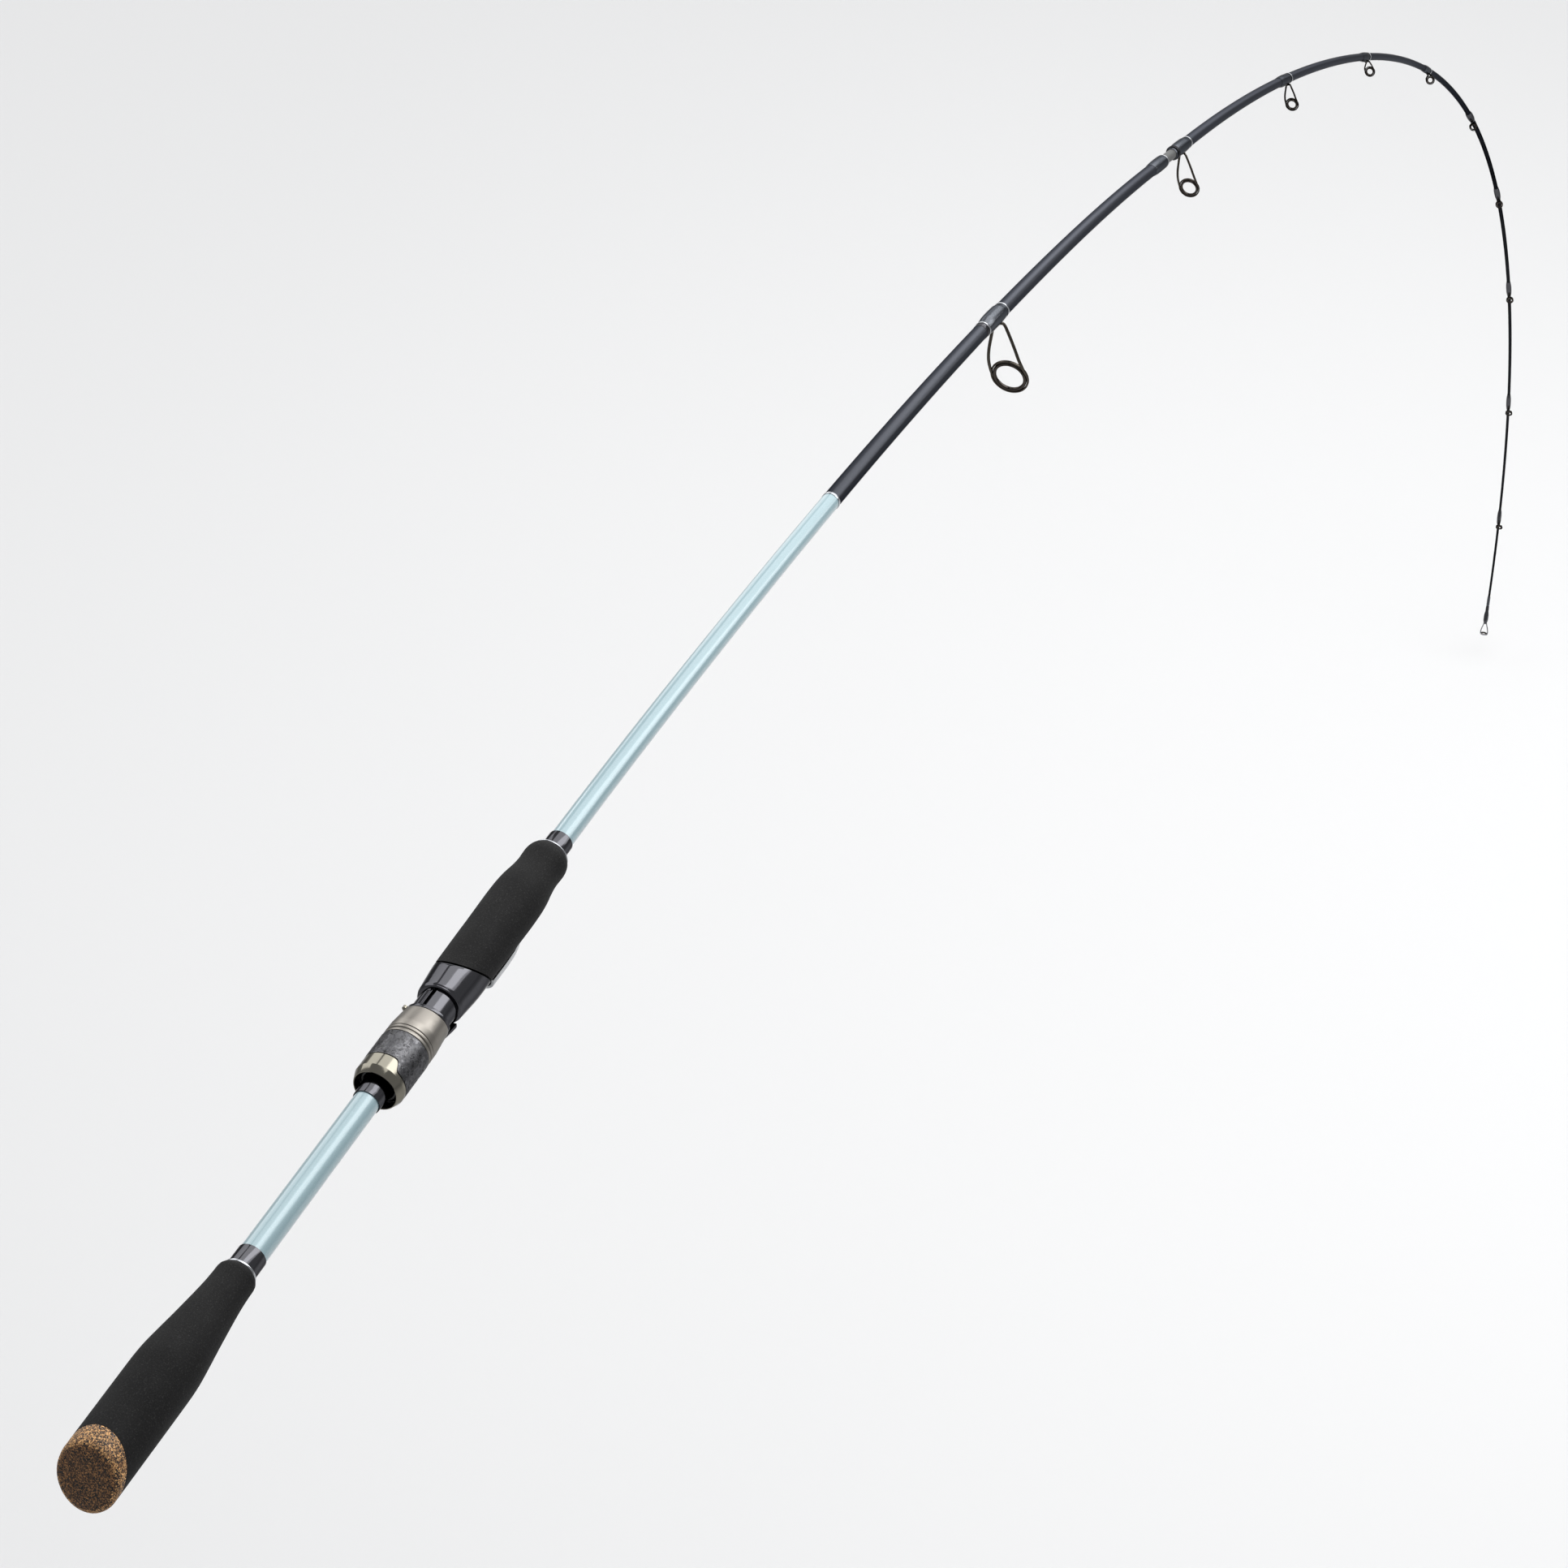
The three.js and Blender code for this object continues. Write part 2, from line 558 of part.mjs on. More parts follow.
// The thread and varnish over the foot, with a channel below where the foot lies and the legs leave.
function guideWrap(guide) {
  const { station, wrap, foot, wire: gauge, legs } = guide;
  const [start, end] = wrap;
  const under = (s) => blankRadius(s) + SMALL_GAP;
  const cover = foot + SMALL_GAP + 0.3 + blankRadius(start) * 0.1;
  const body = sleeve(
    [[start, under(start) + 0.35], [start + 4, under(start) + cover], [end - 2, under(end) + cover], [end, under(end) + 0.35]],
    [[start, under(start)], [end, under(end)]],
    blankSides(start),
  );
  const channel = guideFoot(guide, SMALL_GAP, legs - station);
  const mouth = new THREE.BoxGeometry(end + 1 - (legs - gauge * 3), footWidth(guide) + gauge * 3, cover * 4);
  mouth.translate((end + 1 + legs - gauge * 3) / 2 - station, 0, topOf(guide) + SMALL_GAP - cover * 2);
  return cut(body, placed(channel, station), placed(mouth, station));
}

function trimRing(start, length) {
  const r = blankRadius(start);
  return ring(start, start + length, r + SMALL_GAP, r + SMALL_GAP + 0.45, blankSides(start));
}

// ---------- Tip top ----------
function tipTopFrame() {
  const { start, tubeEnd, tube, ring: diameter, wire: gauge, station, drop } = TIP_TOP;
  const outer = diameter / 2;
  const section = [
    [outer, -gauge / 2], [outer, gauge / 2], [outer - gauge * 0.8, gauge / 2], [outer - gauge * 0.8, -gauge / 2],
  ];
  const loop = ringPlace(hoop(section, 12), drop);
  const socket = turned([
    [start, 0.95], [start, tube], [tubeEnd, tube], [tubeEnd, 0], [TIP_SECTION.end + GAP, 0],
    [TIP_SECTION.end + GAP, 0.95], [start, 0.95],
  ], 8);
  const arms = [1, -1].map((hand) => {
    const from = new THREE.Vector3(tubeEnd - station - 2, hand * 0.7, -0.3);
    const middle = new THREE.Vector3(tubeEnd - station + 1.5, hand * 2.0, -0.5);
    const to = new THREE.Vector3(-0.4, hand * (outer - gauge * 0.5), -drop);
    return placed(wire([from, middle, to], gauge, 2, 3), station);
  });
  return join(placed(loop, station), socket, ...arms);
}

function tipTopRing() {
  const { ring: diameter, wire: gauge, station, drop } = TIP_TOP;
  const outer = diameter / 2 - gauge * 0.8 - SMALL_GAP;
  const section = [[outer, -0.6], [outer, 0.6], [outer - 0.35, 0.6], [outer - 0.6, 0], [outer - 0.35, -0.6]];
  return placed(ringPlace(hoop(section, 12), drop), station);
}

function tipTopWrap() {
  const { start, end } = TIP_WRAP;
  const r = tipRadius(start) + SMALL_GAP;
  return sleeve([[start, r + 0.3], [start + 2, r + 0.5], [end, r + 0.5]], [[start, r], [end, r]], SIDES.tip);
}

// ---------- Materials ----------
const finish = (color, roughness, metalness) => ({ color, roughness, metalness });
const FINISHES = {
  cork: finish(0x6f5a45, 0.85, 0),
  foam: finish(0x1d1d1f, 0.9, 0),
  gloss_black: finish(0x111114, 0.2, 0.1),
  blue_paint: finish(0xa9cdd8, 0.25, 0.2),
  graphite: finish(0x24262b, 0.45, 0.2),
  champagne: finish(0xb7a58c, 0.3, 0.9),
  gold: finish(0xa89a6a, 0.2, 1),
  forged: finish(0x3a3a40, 0.35, 0.4),
  steel: finish(0xb9bcbf, 0.3, 1),
  frame: finish(0x4a4640, 0.25, 1),
  ceramic: finish(0x2a2c30, 0.12, 0.3),
  epoxy: finish(0x2c3036, 0.12, 0.1),
};

const rodGroup = new THREE.Group();
function add(name, geometry, finishName) {
  const mesh = new THREE.Mesh(geometry, new THREE.MeshStandardMaterial(FINISHES[finishName]));
  mesh.name = name;
  rodGroup.add(mesh);
}

// ---------- Assembly ----------
add('butt_cap', buttCap(), 'cork');
add('rear_grip', rearGrip(), 'foam');
add('rear_winding_check', ring(REAR_CHECK.start, REAR_CHECK.end, boreOver(110), REAR_CHECK.radius), 'steel');
add('rear_trim_band', ring(REAR_BAND.start, REAR_BAND.end, boreOver(120), REAR_BAND.radius), 'gloss_black');
add('butt_blank', buttBlank(), 'blue_paint');
add('rear_arbor', rearArbor(), 'gloss_black');
add('front_arbor', frontArbor(), 'graphite');
add('reel_seat_body', seatBody(), 'gloss_black');
add('fixed_hood', fixedHood(), 'steel');
add('moving_hood', movingHood(), 'gloss_black');
add('hood_collar', hoodCollar(), 'champagne');
add('nut_core', nutCore(), 'gloss_black');
add('nut_end_ring', endRing(), 'gold');
add('nut_sleeve', nutSleeve(), 'forged');
add('nut_groove_ring', grooveRing(), 'champagne');
add('fore_grip', foreGrip(hoodShell(FIXED_HOOD, GAP)), 'foam');
add('fore_winding_check', ring(FORE_CHECK.start, FORE_CHECK.end, boreOver(400), FORE_CHECK.radius), 'steel');
add('fore_trim_band', ring(FORE_BAND.start, FORE_BAND.end, boreOver(400), FORE_BAND.radius), 'gloss_black');
add('colour_change_band', trimRing(COLOUR_CHANGE - 0.8, 1.6), 'steel');
add('ferrule_wrap', ring(FERRULE_WRAP.start, FERRULE_WRAP.end, boreOver(1158), FERRULE_WRAP.radius, SIDES.butt), 'epoxy');
add('ferrule_trim', trimRing(FERRULE_WRAP.end + 0.3, 1.2), 'steel');
add('spigot', spigot(), 'graphite');
add('tip_blank', tipBlank(), 'graphite');
GUIDES.forEach((guide, i) => {
  add(`guide_${i + 1}_frame`, guideFrame(guide), 'frame');
  add(`guide_${i + 1}_ring`, guideRing(guide), 'ceramic');
  add(`guide_${i + 1}_wrap`, guideWrap(guide), 'epoxy');
});
add('guide_1_rear_trim', trimRing(GUIDES[0].wrap[0] - 1.5, 1.2), 'steel');
add('guide_1_front_trim', trimRing(GUIDES[0].wrap[1] + 0.3, 1.2), 'steel');
add('guide_2_front_trim', trimRing(GUIDES[1].wrap[1] + 0.3, 1.2), 'steel');
add('tip_top_frame', tipTopFrame(), 'steel');
add('tip_top_ring', tipTopRing(), 'ceramic');
add('tip_top_wrap', tipTopWrap(), 'epoxy');

export default rodGroup;
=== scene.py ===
"""The looks of a two-piece spinning rod, bent as under load, on a pale studio floor.

Every piece is drawn along the rod's axis by its station, in millimetres from the butt, and replaces the
faceted CAD node that it stands for. The section on the axis repeats the CAD's driving dimensions.
"""
import math

import bmesh
import bpy
import numpy as np
from mathutils import Matrix, Vector


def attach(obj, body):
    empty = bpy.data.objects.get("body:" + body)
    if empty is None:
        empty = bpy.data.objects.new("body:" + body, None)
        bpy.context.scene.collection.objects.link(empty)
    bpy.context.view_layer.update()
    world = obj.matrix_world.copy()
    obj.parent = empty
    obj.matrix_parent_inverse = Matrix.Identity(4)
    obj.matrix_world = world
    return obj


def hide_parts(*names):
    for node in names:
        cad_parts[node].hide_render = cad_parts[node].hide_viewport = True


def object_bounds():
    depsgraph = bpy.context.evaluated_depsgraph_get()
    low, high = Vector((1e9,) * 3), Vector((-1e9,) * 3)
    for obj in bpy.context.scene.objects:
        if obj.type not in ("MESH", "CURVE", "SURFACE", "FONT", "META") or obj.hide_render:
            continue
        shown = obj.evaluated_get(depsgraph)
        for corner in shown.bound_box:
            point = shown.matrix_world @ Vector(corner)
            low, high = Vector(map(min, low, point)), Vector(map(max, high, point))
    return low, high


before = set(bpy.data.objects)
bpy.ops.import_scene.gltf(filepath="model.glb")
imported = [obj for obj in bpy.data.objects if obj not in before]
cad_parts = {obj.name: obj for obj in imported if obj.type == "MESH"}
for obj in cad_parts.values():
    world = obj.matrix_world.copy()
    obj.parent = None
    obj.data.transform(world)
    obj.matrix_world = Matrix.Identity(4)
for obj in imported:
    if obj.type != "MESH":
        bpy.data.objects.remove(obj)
CAD_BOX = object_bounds()
MM = 0.001

# ---------- The rod's axis, as in the CAD ----------
ROD_LENGTH = 2300
BED_STATION, BED_DROP = 317, 9.7
BEND_START = 410
FERRULE_STRAIGHT = (1158, 1224)
# Curvature of the axis at a station, in radians per metre.
BEND = [
    (BEND_START, 0.35), (600, 0.16), (800, 0.29), (1000, 0.33), (1150, 0.68), (1350, 0.73), (1500, 0.82),
    (1650, 1.32), (1800, 2.06), (1900, 2.63), (2000, 2.89), (2100, 2.69), (2200, 2.25), (2300, 1.75),
]
# The guides turn round the blank from the first station to the second, in degrees.
TWIST = ((940, -8.0), (1935, -24.0))
RING_TILT = math.radians(15)
COLOUR_CHANGE = 722
BUTT_SECTION_END = 1181.5
TIP_SECTION_START, TIP_SECTION_END = 1195.3, 2288


def butt_radius(s):
    return 6.35 - 0.0027 * (s - 100)


def tip_radius(s):
    return 0.8 + 2.65 * (np.maximum(TIP_SECTION_END - np.asarray(s, float), 0) / 1098) ** 1.3


def blank_radius(s):
    return float(butt_radius(s)) if s < BUTT_SECTION_END else float(tip_radius(s))


def curvature(s):
    if s < BEND_START or FERRULE_STRAIGHT[0] < s < FERRULE_STRAIGHT[1]:
        return 0.0
    stations, values = zip(*BEND)
    return float(np.interp(s, stations, values)) / 1000


def axis_table():
    x, z, angle = [-float(BED_STATION)], [BED_DROP], [0.0]
    for s in range(1, ROD_LENGTH + 1):
        turned = angle[-1] + curvature(s - 0.5)
        middle = (turned + angle[-1]) / 2
        x.append(x[-1] + math.cos(middle))
        z.append(z[-1] - math.sin(middle))
        angle.append(turned)
    return np.array(x), np.array(z), np.array(angle)


AXIS_X, AXIS_Z, AXIS_ANGLE = axis_table()


def frame_at(s, twist=0.0):
    """Origin, along, up and side at stations s, in mm. Up points away from the guides, side is +Y."""
    s = np.asarray(s, float)
    table = np.arange(ROD_LENGTH + 1)
    inside = np.clip(s, 0, ROD_LENGTH)
    angle = np.interp(inside, table, AXIS_ANGLE)
    x = np.interp(inside, table, AXIS_X) + (s - inside) * np.cos(angle)
    z = np.interp(inside, table, AXIS_Z) - (s - inside) * np.sin(angle)
    zero = np.zeros_like(angle)
    along = np.stack([np.cos(angle), zero, -np.sin(angle)], -1)
    straight_up = np.stack([np.sin(angle), zero, np.cos(angle)], -1)
    y_axis = np.array([0.0, 1.0, 0.0])
    t = math.radians(twist)
    up = straight_up * math.cos(t) - y_axis * math.sin(t)
    side = np.cross(up, along)
    return np.stack([x, zero, z], -1), along, up, side


def twist_at(s):
    return float(np.interp(s, *zip(*TWIST)))


# ---------- Profiles ----------
# A profile point is (station, radius, fillet, slope); slope slants its plane: station + slope * height.
def full(point):
    return tuple(point) + (0.0,) * (4 - len(point))


def filleted(points, steps=4):
    """A closed profile with its corners rounded."""
    points = [np.array(full(p)) for p in points]
    out = []
    for i, p in enumerate(points):
        a, b = points[i - 1], points[(i + 1) % len(points)]
        length_a, length_b = np.hypot(*(a - p)[:2]), np.hypot(*(b - p)[:2])
        if p[2] <= 0 or min(length_a, length_b) < 1e-6:
            out.append(p)
            continue
        reach = min(p[2], length_a * 0.48, length_b * 0.48)
        start, end = p + (a - p) * (reach / length_a), p + (b - p) * (reach / length_b)
        for k in range(steps + 1):
            t = k / steps
            out.append(start * (1 - t) ** 2 + p * 2 * t * (1 - t) + end * t * t)
    return out


def smooth(points, count=5):
    """Catmull-Rom points through an open run of profile points."""
    p = np.array([full(q) for q in points])
    p = np.vstack([2 * p[0] - p[1], p, 2 * p[-1] - p[-2]])
    out = []
    for i in range(1, len(p) - 2):
        for k in range(count):
            t = k / count
            out.append(0.5 * (
                2 * p[i] + (p[i + 1] - p[i - 1]) * t
                + (2 * p[i - 1] - 5 * p[i] + 4 * p[i + 1] - p[i + 2]) * t ** 2
                + (3 * p[i] - p[i - 1] - 3 * p[i + 1] + p[i + 2]) * t ** 3
            ))
    out.append(p[-2])
    return [tuple(q) for q in out]


def subdivided(points, closed, longest=9.0):
    """Extra stations where the rod bends."""
    points = [np.array(full(p)) for p in points]
    pairs = list(zip(points, points[1:] + points[:1])) if closed else list(zip(points, points[1:]))
    out = []
    for a, b in pairs:
        bent = max(a[0], b[0]) > BEND_START
        count = max(1, math.ceil(abs(a[0] - b[0]) / longest)) if bent else 1
        out += [a + (b - a) * (k / count) for k in range(count)]
    return np.array(out if closed else out + [points[-1]])


def tube_profile(start, end, bore, radius, fillet=0.25):
    return filleted([(start, bore), (start, radius, fillet), (end, radius, fillet), (end, bore)])


# ---------- Mesh building ----------
def angles(count):
    return np.arange(count) * (2 * math.pi / count)


def turned_points(s, r, theta, twist=0.0):
    """Points at stations s and radii r, both rows x angles, round the rod's axis."""
    origin, _, up, side = frame_at(s.ravel(), twist)
    turn = np.tile(theta, len(s))[:, None]
    points = origin + r.ravel()[:, None] * (np.cos(turn) * up + np.sin(turn) * side)
    return points.reshape(len(s), len(theta), 3)


def turned_uv(s, theta):
    return np.stack([s * MM, np.repeat(theta[None, :] / (2 * math.pi), len(s), 0)], -1)


class Shape:
    """Collects surfaces in millimetres and makes one object of them."""

    def __init__(self):
        self.verts, self.faces, self.uvs, self.mats = [], [], [], []

    def count(self):
        return sum(len(v) for v in self.verts)

    def grid(self, points, uv, wrap_rows, mat=0):
        """points is rows x cols x 3 and uv is rows x cols x 2; the columns close on themselves."""
        rows, cols = points.shape[:2]
        base = self.count()
        self.verts.append(points.reshape(-1, 3))
        for i in range(rows if wrap_rows else rows - 1):
            i2 = (i + 1) % rows
            for j in range(cols):
                j2 = (j + 1) % cols
                corners = (i * cols + j, i2 * cols + j, i2 * cols + j2, i * cols + j2)
                self.faces.append([base + corner for corner in corners])
                u1, u2, v1 = uv[i, j, 0], uv[i2, j, 0], uv[i, j, 1]
                v2 = uv[i, j2, 1] if j2 else v1 + 1.0 / cols
                self.uvs.append([(u1, v1), (u2, v1), (u2, v2), (u1, v2)])
                self.mats.append(mat(u1, u2) if callable(mat) else mat)

    def lathe(self, profile, segments=64, closed=True, twist=0.0, mat=0, shape=None):
        """Turns a profile round the rod's axis; shape(s, r, theta) may change its radii."""
        rows = subdivided(profile, closed)
        theta = angles(segments)
        r = np.repeat(rows[:, 1:2], segments, 1)
        s = np.repeat(rows[:, :1], segments, 1) + rows[:, 3:4] * r * np.cos(theta)[None, :]
        if shape is not None:
            r = shape(s, r, theta[None, :])
        self.grid(turned_points(s, r, theta, twist), turned_uv(s, theta), closed, mat)

    def flat_face(self, start, count, mat=0):
        """A flat face over count points in a row."""
        self.faces.append([start + j for j in range(count)])
        self.uvs.append([(0.0, 0.0)] * count)
        self.mats.append(mat)

    def loft(self, loops, caps=True, mat=0):
        """Loops of equal length, closed round, joined in order, with flat ends."""
        points = np.array(loops, float)
        rows, cols = points.shape[:2]
        run = np.concatenate([[0], np.cumsum(np.linalg.norm(np.diff(points[:, 0], axis=0), axis=1))])
        uv = np.stack(np.meshgrid(run * MM, np.arange(cols) / cols, indexing="ij"), -1)
        base = self.count()
        self.grid(points, uv, False, mat)
        if caps:
            for start in (base, base + (rows - 1) * cols):
                self.flat_face(start, cols, mat)

    def tube(self, path, radius, segments=12, mat=0):
        """A wire along points, with rounded ends."""
        path = np.array(path, float)
        tangent = np.gradient(path, axis=0)
        tangent /= np.linalg.norm(tangent, axis=1)[:, None]
        normal = np.cross(tangent[0], [0.3, 0.2, 0.9])
        normal /= np.linalg.norm(normal)
        radius = np.broadcast_to(np.asarray(radius, float), (len(path),))
        loops = []
        theta = angles(segments)
        for k, (p, t) in enumerate(zip(path, tangent)):
            normal = normal - t * normal.dot(t)
            normal /= np.linalg.norm(normal)
            ring = np.cos(theta)[:, None] * normal + np.sin(theta)[:, None] * np.cross(t, normal)
            if k == 0:
                loops.append(p - t * radius[0] * 0.5 + ring * radius[0] * 0.5)
            loops.append(p + ring * radius[k])
            if k == len(path) - 1:
                loops.append(p + t * radius[k] * 0.5 + ring * radius[k] * 0.5)
        self.loft(loops, mat=mat)

    def object(self, name, body, nodes, slot, materials, sharp=38):
        mesh = bpy.data.meshes.new(name)
        verts = np.concatenate(self.verts) * MM
        mesh.from_pydata(verts.tolist(), [], self.faces)
        layer = mesh.uv_layers.new(name="UVMap")
        layer.data.foreach_set("uv", np.array([c for face in self.uvs for c in face]).ravel())
        mesh.polygons.foreach_set("material_index", self.mats)
        bm = bmesh.new()
        bm.from_mesh(mesh)
        bmesh.ops.remove_doubles(bm, verts=bm.verts, dist=2e-7)
        bmesh.ops.dissolve_degenerate(bm, edges=bm.edges, dist=1e-7)
        bmesh.ops.recalc_face_normals(bm, faces=bm.faces)
        bm.to_mesh(mesh)
        bm.free()
        for material in materials.split():
            mesh.materials.append(MATERIALS[material])
        mesh.shade_smooth()
        mesh.set_sharp_from_angle(angle=math.radians(sharp))
        obj = bpy.data.objects.new(name, mesh)
        bpy.context.scene.collection.objects.link(obj)
        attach(obj, body)
        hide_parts(*nodes)
        return obj


def turned_piece(name, profile, materials, slot, body="root", node=None, **options):
    shape = Shape()
    shape.lathe(profile, **options)
    return shape.object(name, body, [node or name], slot, materials)


# ---------- Material nodes ----------
def new_material(name, color, roughness, metallic=0.0, coat=0.0, coat_roughness=0.03, ior=1.5, **sockets):
    material = bpy.data.materials.new(name)
    material.use_nodes = True
    bsdf = material.node_tree.nodes["Principled BSDF"]
    values = {
        "Base Color": (*color, 1.0), "Roughness": roughness, "Metallic": metallic, "Coat Weight": coat,
        "Coat Roughness": coat_roughness, "IOR": ior,
    }
    values.update({key.replace("_", " "): value for key, value in sockets.items()})
    for key, value in values.items():
        bsdf.inputs[key].default_value = value
    return material


def add_node(tree, kind, **settings):
    made = tree.nodes.new(kind)
    for key, value in settings.items():
        if key.startswith("in_"):
            made.inputs[key[3:].replace("_", " ")].default_value = value
        else:
            setattr(made, key, value)
    return made


def coords(tree, space="Object", scale=(1, 1, 1)):
    source = add_node(tree, "ShaderNodeTexCoord")
    mapping = add_node(tree, "ShaderNodeMapping", in_Scale=scale)
    tree.links.new(source.outputs[space], mapping.inputs["Vector"])
    return mapping.outputs["Vector"]


def noise(tree, vector, scale, detail=3.0, roughness=0.55):
    made = add_node(tree, "ShaderNodeTexNoise", in_Scale=scale, in_Detail=detail, in_Roughness=roughness)
    tree.links.new(vector, made.inputs["Vector"])
    return made.outputs["Fac"]


def voronoi(tree, vector, scale, output="Distance"):
    made = add_node(tree, "ShaderNodeTexVoronoi", in_Scale=scale)
    tree.links.new(vector, made.inputs["Vector"])
    return made.outputs[output]


def separated(tree, color):
    """The red, green and blue of a colour, each as a number."""
    split = add_node(tree, "ShaderNodeSeparateColor")
    tree.links.new(color, split.inputs["Color"])
    return split.outputs


def ramp(tree, factor, stops, constant=False):
    made = add_node(tree, "ShaderNodeValToRGB")
    made.color_ramp.interpolation = "CONSTANT" if constant else "LINEAR"
    elements = made.color_ramp.elements
    while len(elements) < len(stops):
        elements.new(0.5)
    for element, (position, color) in zip(elements, stops):
        element.position = position
        element.color = (*color, 1.0)
    tree.links.new(factor, made.inputs["Fac"])
    return made.outputs["Color"]


def grey(value):
    return (value, value, value)


def scaled(color, share, lift=0.0):
    return tuple(min(1.0, c * share + lift) for c in color)


def mixed(tree, factor, a, b, blend="MIX"):
    """Mixes two colours, each a tuple or a socket; the factor is a number or a socket."""
    made = add_node(tree, "ShaderNodeMix", data_type="RGBA", blend_type=blend)
    for socket, value in ((made.inputs["Factor"], factor), (made.inputs[6], a), (made.inputs[7], b)):
        if hasattr(value, "is_linked"):
            tree.links.new(value, socket)
        else:
            socket.default_value = (*value, 1.0) if isinstance(value, tuple) else value
    return made.outputs[2]


def remap(tree, factor, low, high):
    made = add_node(tree, "ShaderNodeMapRange", in_To_Min=low, in_To_Max=high)
    tree.links.new(factor, made.inputs["Value"])
    return made.outputs["Result"]


def bump(tree, height, strength, distance):
    made = add_node(tree, "ShaderNodeBump", in_Strength=strength, in_Distance=distance)
    tree.links.new(height, made.inputs["Height"])
    link(tree, made.outputs["Normal"], "Normal")


def link(tree, output, socket):
    tree.links.new(output, tree.nodes["Principled BSDF"].inputs[socket])


# ---------- Materials ----------
def foam():
    m = new_material("eva_foam", (0.012, 0.012, 0.0125), 0.78, ior=1.4, Specular_IOR_Level=0.28)
    t = m.node_tree
    v = coords(t)
    grain = noise(t, v, 1500, 2.0, 0.6)
    cells = voronoi(t, v, 1150)
    tones = [(0.34, (0.003, 0.003, 0.0032)), (0.58, (0.007, 0.0069, 0.007)), (0.74, (0.026, 0.0255, 0.0255))]
    link(t, ramp(t, grain, tones), "Base Color")
    link(t, remap(t, noise(t, v, 60, 2.0), 0.66, 0.86), "Roughness")
    bump(t, cells, 0.35, 0.00012)
    return m


def burl(name, light, dark, black):
    """Burl cork: flecks of four tones, darkened by fine streaks."""
    m = new_material(name, light, 0.62)
    t = m.node_tree
    v = coords(t)
    fleck = separated(t, voronoi(t, v, 2200, "Color"))
    tone = ramp(t, fleck["Red"], [(0.0, black), (0.3, dark), (0.55, light), (0.85, scaled(light, 1.7))], True)
    streak = ramp(t, noise(t, v, 1000, 4.0, 0.7), [(0.42, (0.08, 0.06, 0.05)), (0.53, grey(1.0))])
    link(t, mixed(t, 0.8, tone, streak, "MULTIPLY"), "Base Color")
    link(t, remap(t, fleck["Green"], 0.45, 0.75), "Roughness")
    bump(t, fleck["Blue"], 0.25, 0.00015)
    return m


# Brings a station in metres into the range of a ramp.
FADE_SCALE = 0.4


def lacquer(name, color, dark, metallic, roughness, coat=0.0, edge=1.0, fade=None):
    """Pearl or graphite paint: a fine flake under clear lacquer, darker by the shares at stations in fade."""
    m = new_material(name, color, roughness, metallic, coat, 0.04, Specular_Tint=(*grey(edge), 1.0))
    t = m.node_tree
    v = coords(t)
    flake = noise(t, v, 2600, 2.0, 0.7)
    drift = noise(t, v, 9, 2.0)
    base = mixed(t, ramp(t, drift, [(0.35, grey(0.0)), (0.7, grey(0.25))]), color, dark)
    glint = ramp(t, flake, [(0.5, grey(0.0)), (0.75, grey(0.35))])
    tone = mixed(t, glint, base, scaled(color, 1.5, 0.02))
    if fade:
        split = add_node(t, "ShaderNodeSeparateXYZ")
        t.links.new(coords(t, "UV", (FADE_SCALE, 1, 1)), split.inputs["Vector"])
        share = ramp(t, split.outputs["X"], [(s * MM * FADE_SCALE, grey(value)) for s, value in fade])
        tone = mixed(t, share, tone, scaled(color, 0.12))
    link(t, tone, "Base Color")
    link(t, remap(t, flake, roughness * 0.85, roughness * 1.2), "Roughness")
    bump(t, flake, 0.03, 0.00003)
    return m


def polish(name, color, roughness, metallic=0.0, turned=0.0, edge=1.0):
    """A polished or satin surface with faint wear in its gloss, and turning lines round the rod."""
    m = new_material(name, color, roughness, metallic, Specular_Tint=(*grey(edge), 1.0))
    t = m.node_tree
    v = coords(t)
    wear = noise(t, v, 240, 5.0, 0.65)
    link(t, remap(t, wear, roughness * 0.7, roughness * 1.45), "Roughness")
    tint = ramp(t, noise(t, v, 35, 2.0), [(0.3, grey(0.0)), (0.7, grey(0.35))])
    link(t, mixed(t, tint, color, scaled(color, 0.8)), "Base Color")
    if turned:
        lines = noise(t, coords(t, "UV", (30000, 2.5, 1)), 1.0, 2.0, 0.7)
        bump(t, lines, turned, 0.00002)
    else:
        bump(t, wear, 0.02, 0.00002)
    return m


def forged():
    """Forged carbon: chips of fibre at every angle under lacquer, each with its own sheen, painted into the base
    colour as lighter and darker chips and lighter strands.
    """
    m = new_material("forged_carbon", (0.07, 0.07, 0.075), 0.3, 1.0, Specular_Tint=(*grey(0.5), 1.0))
    t = m.node_tree
    v = coords(t)
    warp = add_node(t, "ShaderNodeTexNoise", in_Scale=300.0, in_Detail=4.0, in_Distortion=1.2)
    t.links.new(v, warp.inputs["Vector"])
    bent = add_node(t, "ShaderNodeMix", data_type="VECTOR")
    bent.inputs["Factor"].default_value = 0.0032
    t.links.new(v, bent.inputs[4])
    t.links.new(warp.outputs["Color"], bent.inputs[5])
    chip = separated(t, voronoi(t, bent.outputs[1], 620, "Color"))
    strands = noise(t, bent.outputs[1], 1250, 3.0, 0.75)
    # The chip pattern is the carbon's own. Its tones and the lighter strands stand for how fibres at different
    # angles catch the light: painted sheen.
    tones = [(0.0, grey(0.028)), (0.5, (0.055, 0.055, 0.059)), (1.0, (0.095, 0.095, 0.1))]
    light = ramp(t, strands, [(0.44, grey(0.0)), (0.52, grey(0.5)), (0.6, grey(0.08)), (0.72, grey(0.6))])
    link(t, mixed(t, light, ramp(t, chip["Red"], tones), (0.20, 0.20, 0.208)), "Base Color")
    link(t, remap(t, chip["Green"], 0.2, 0.5), "Roughness")
    height = add_node(t, "ShaderNodeMath", operation="ADD")
    t.links.new(chip["Blue"], height.inputs[0])
    t.links.new(strands, height.inputs[1])
    bump(t, height.outputs[0], 0.35, 0.00012)
    return m


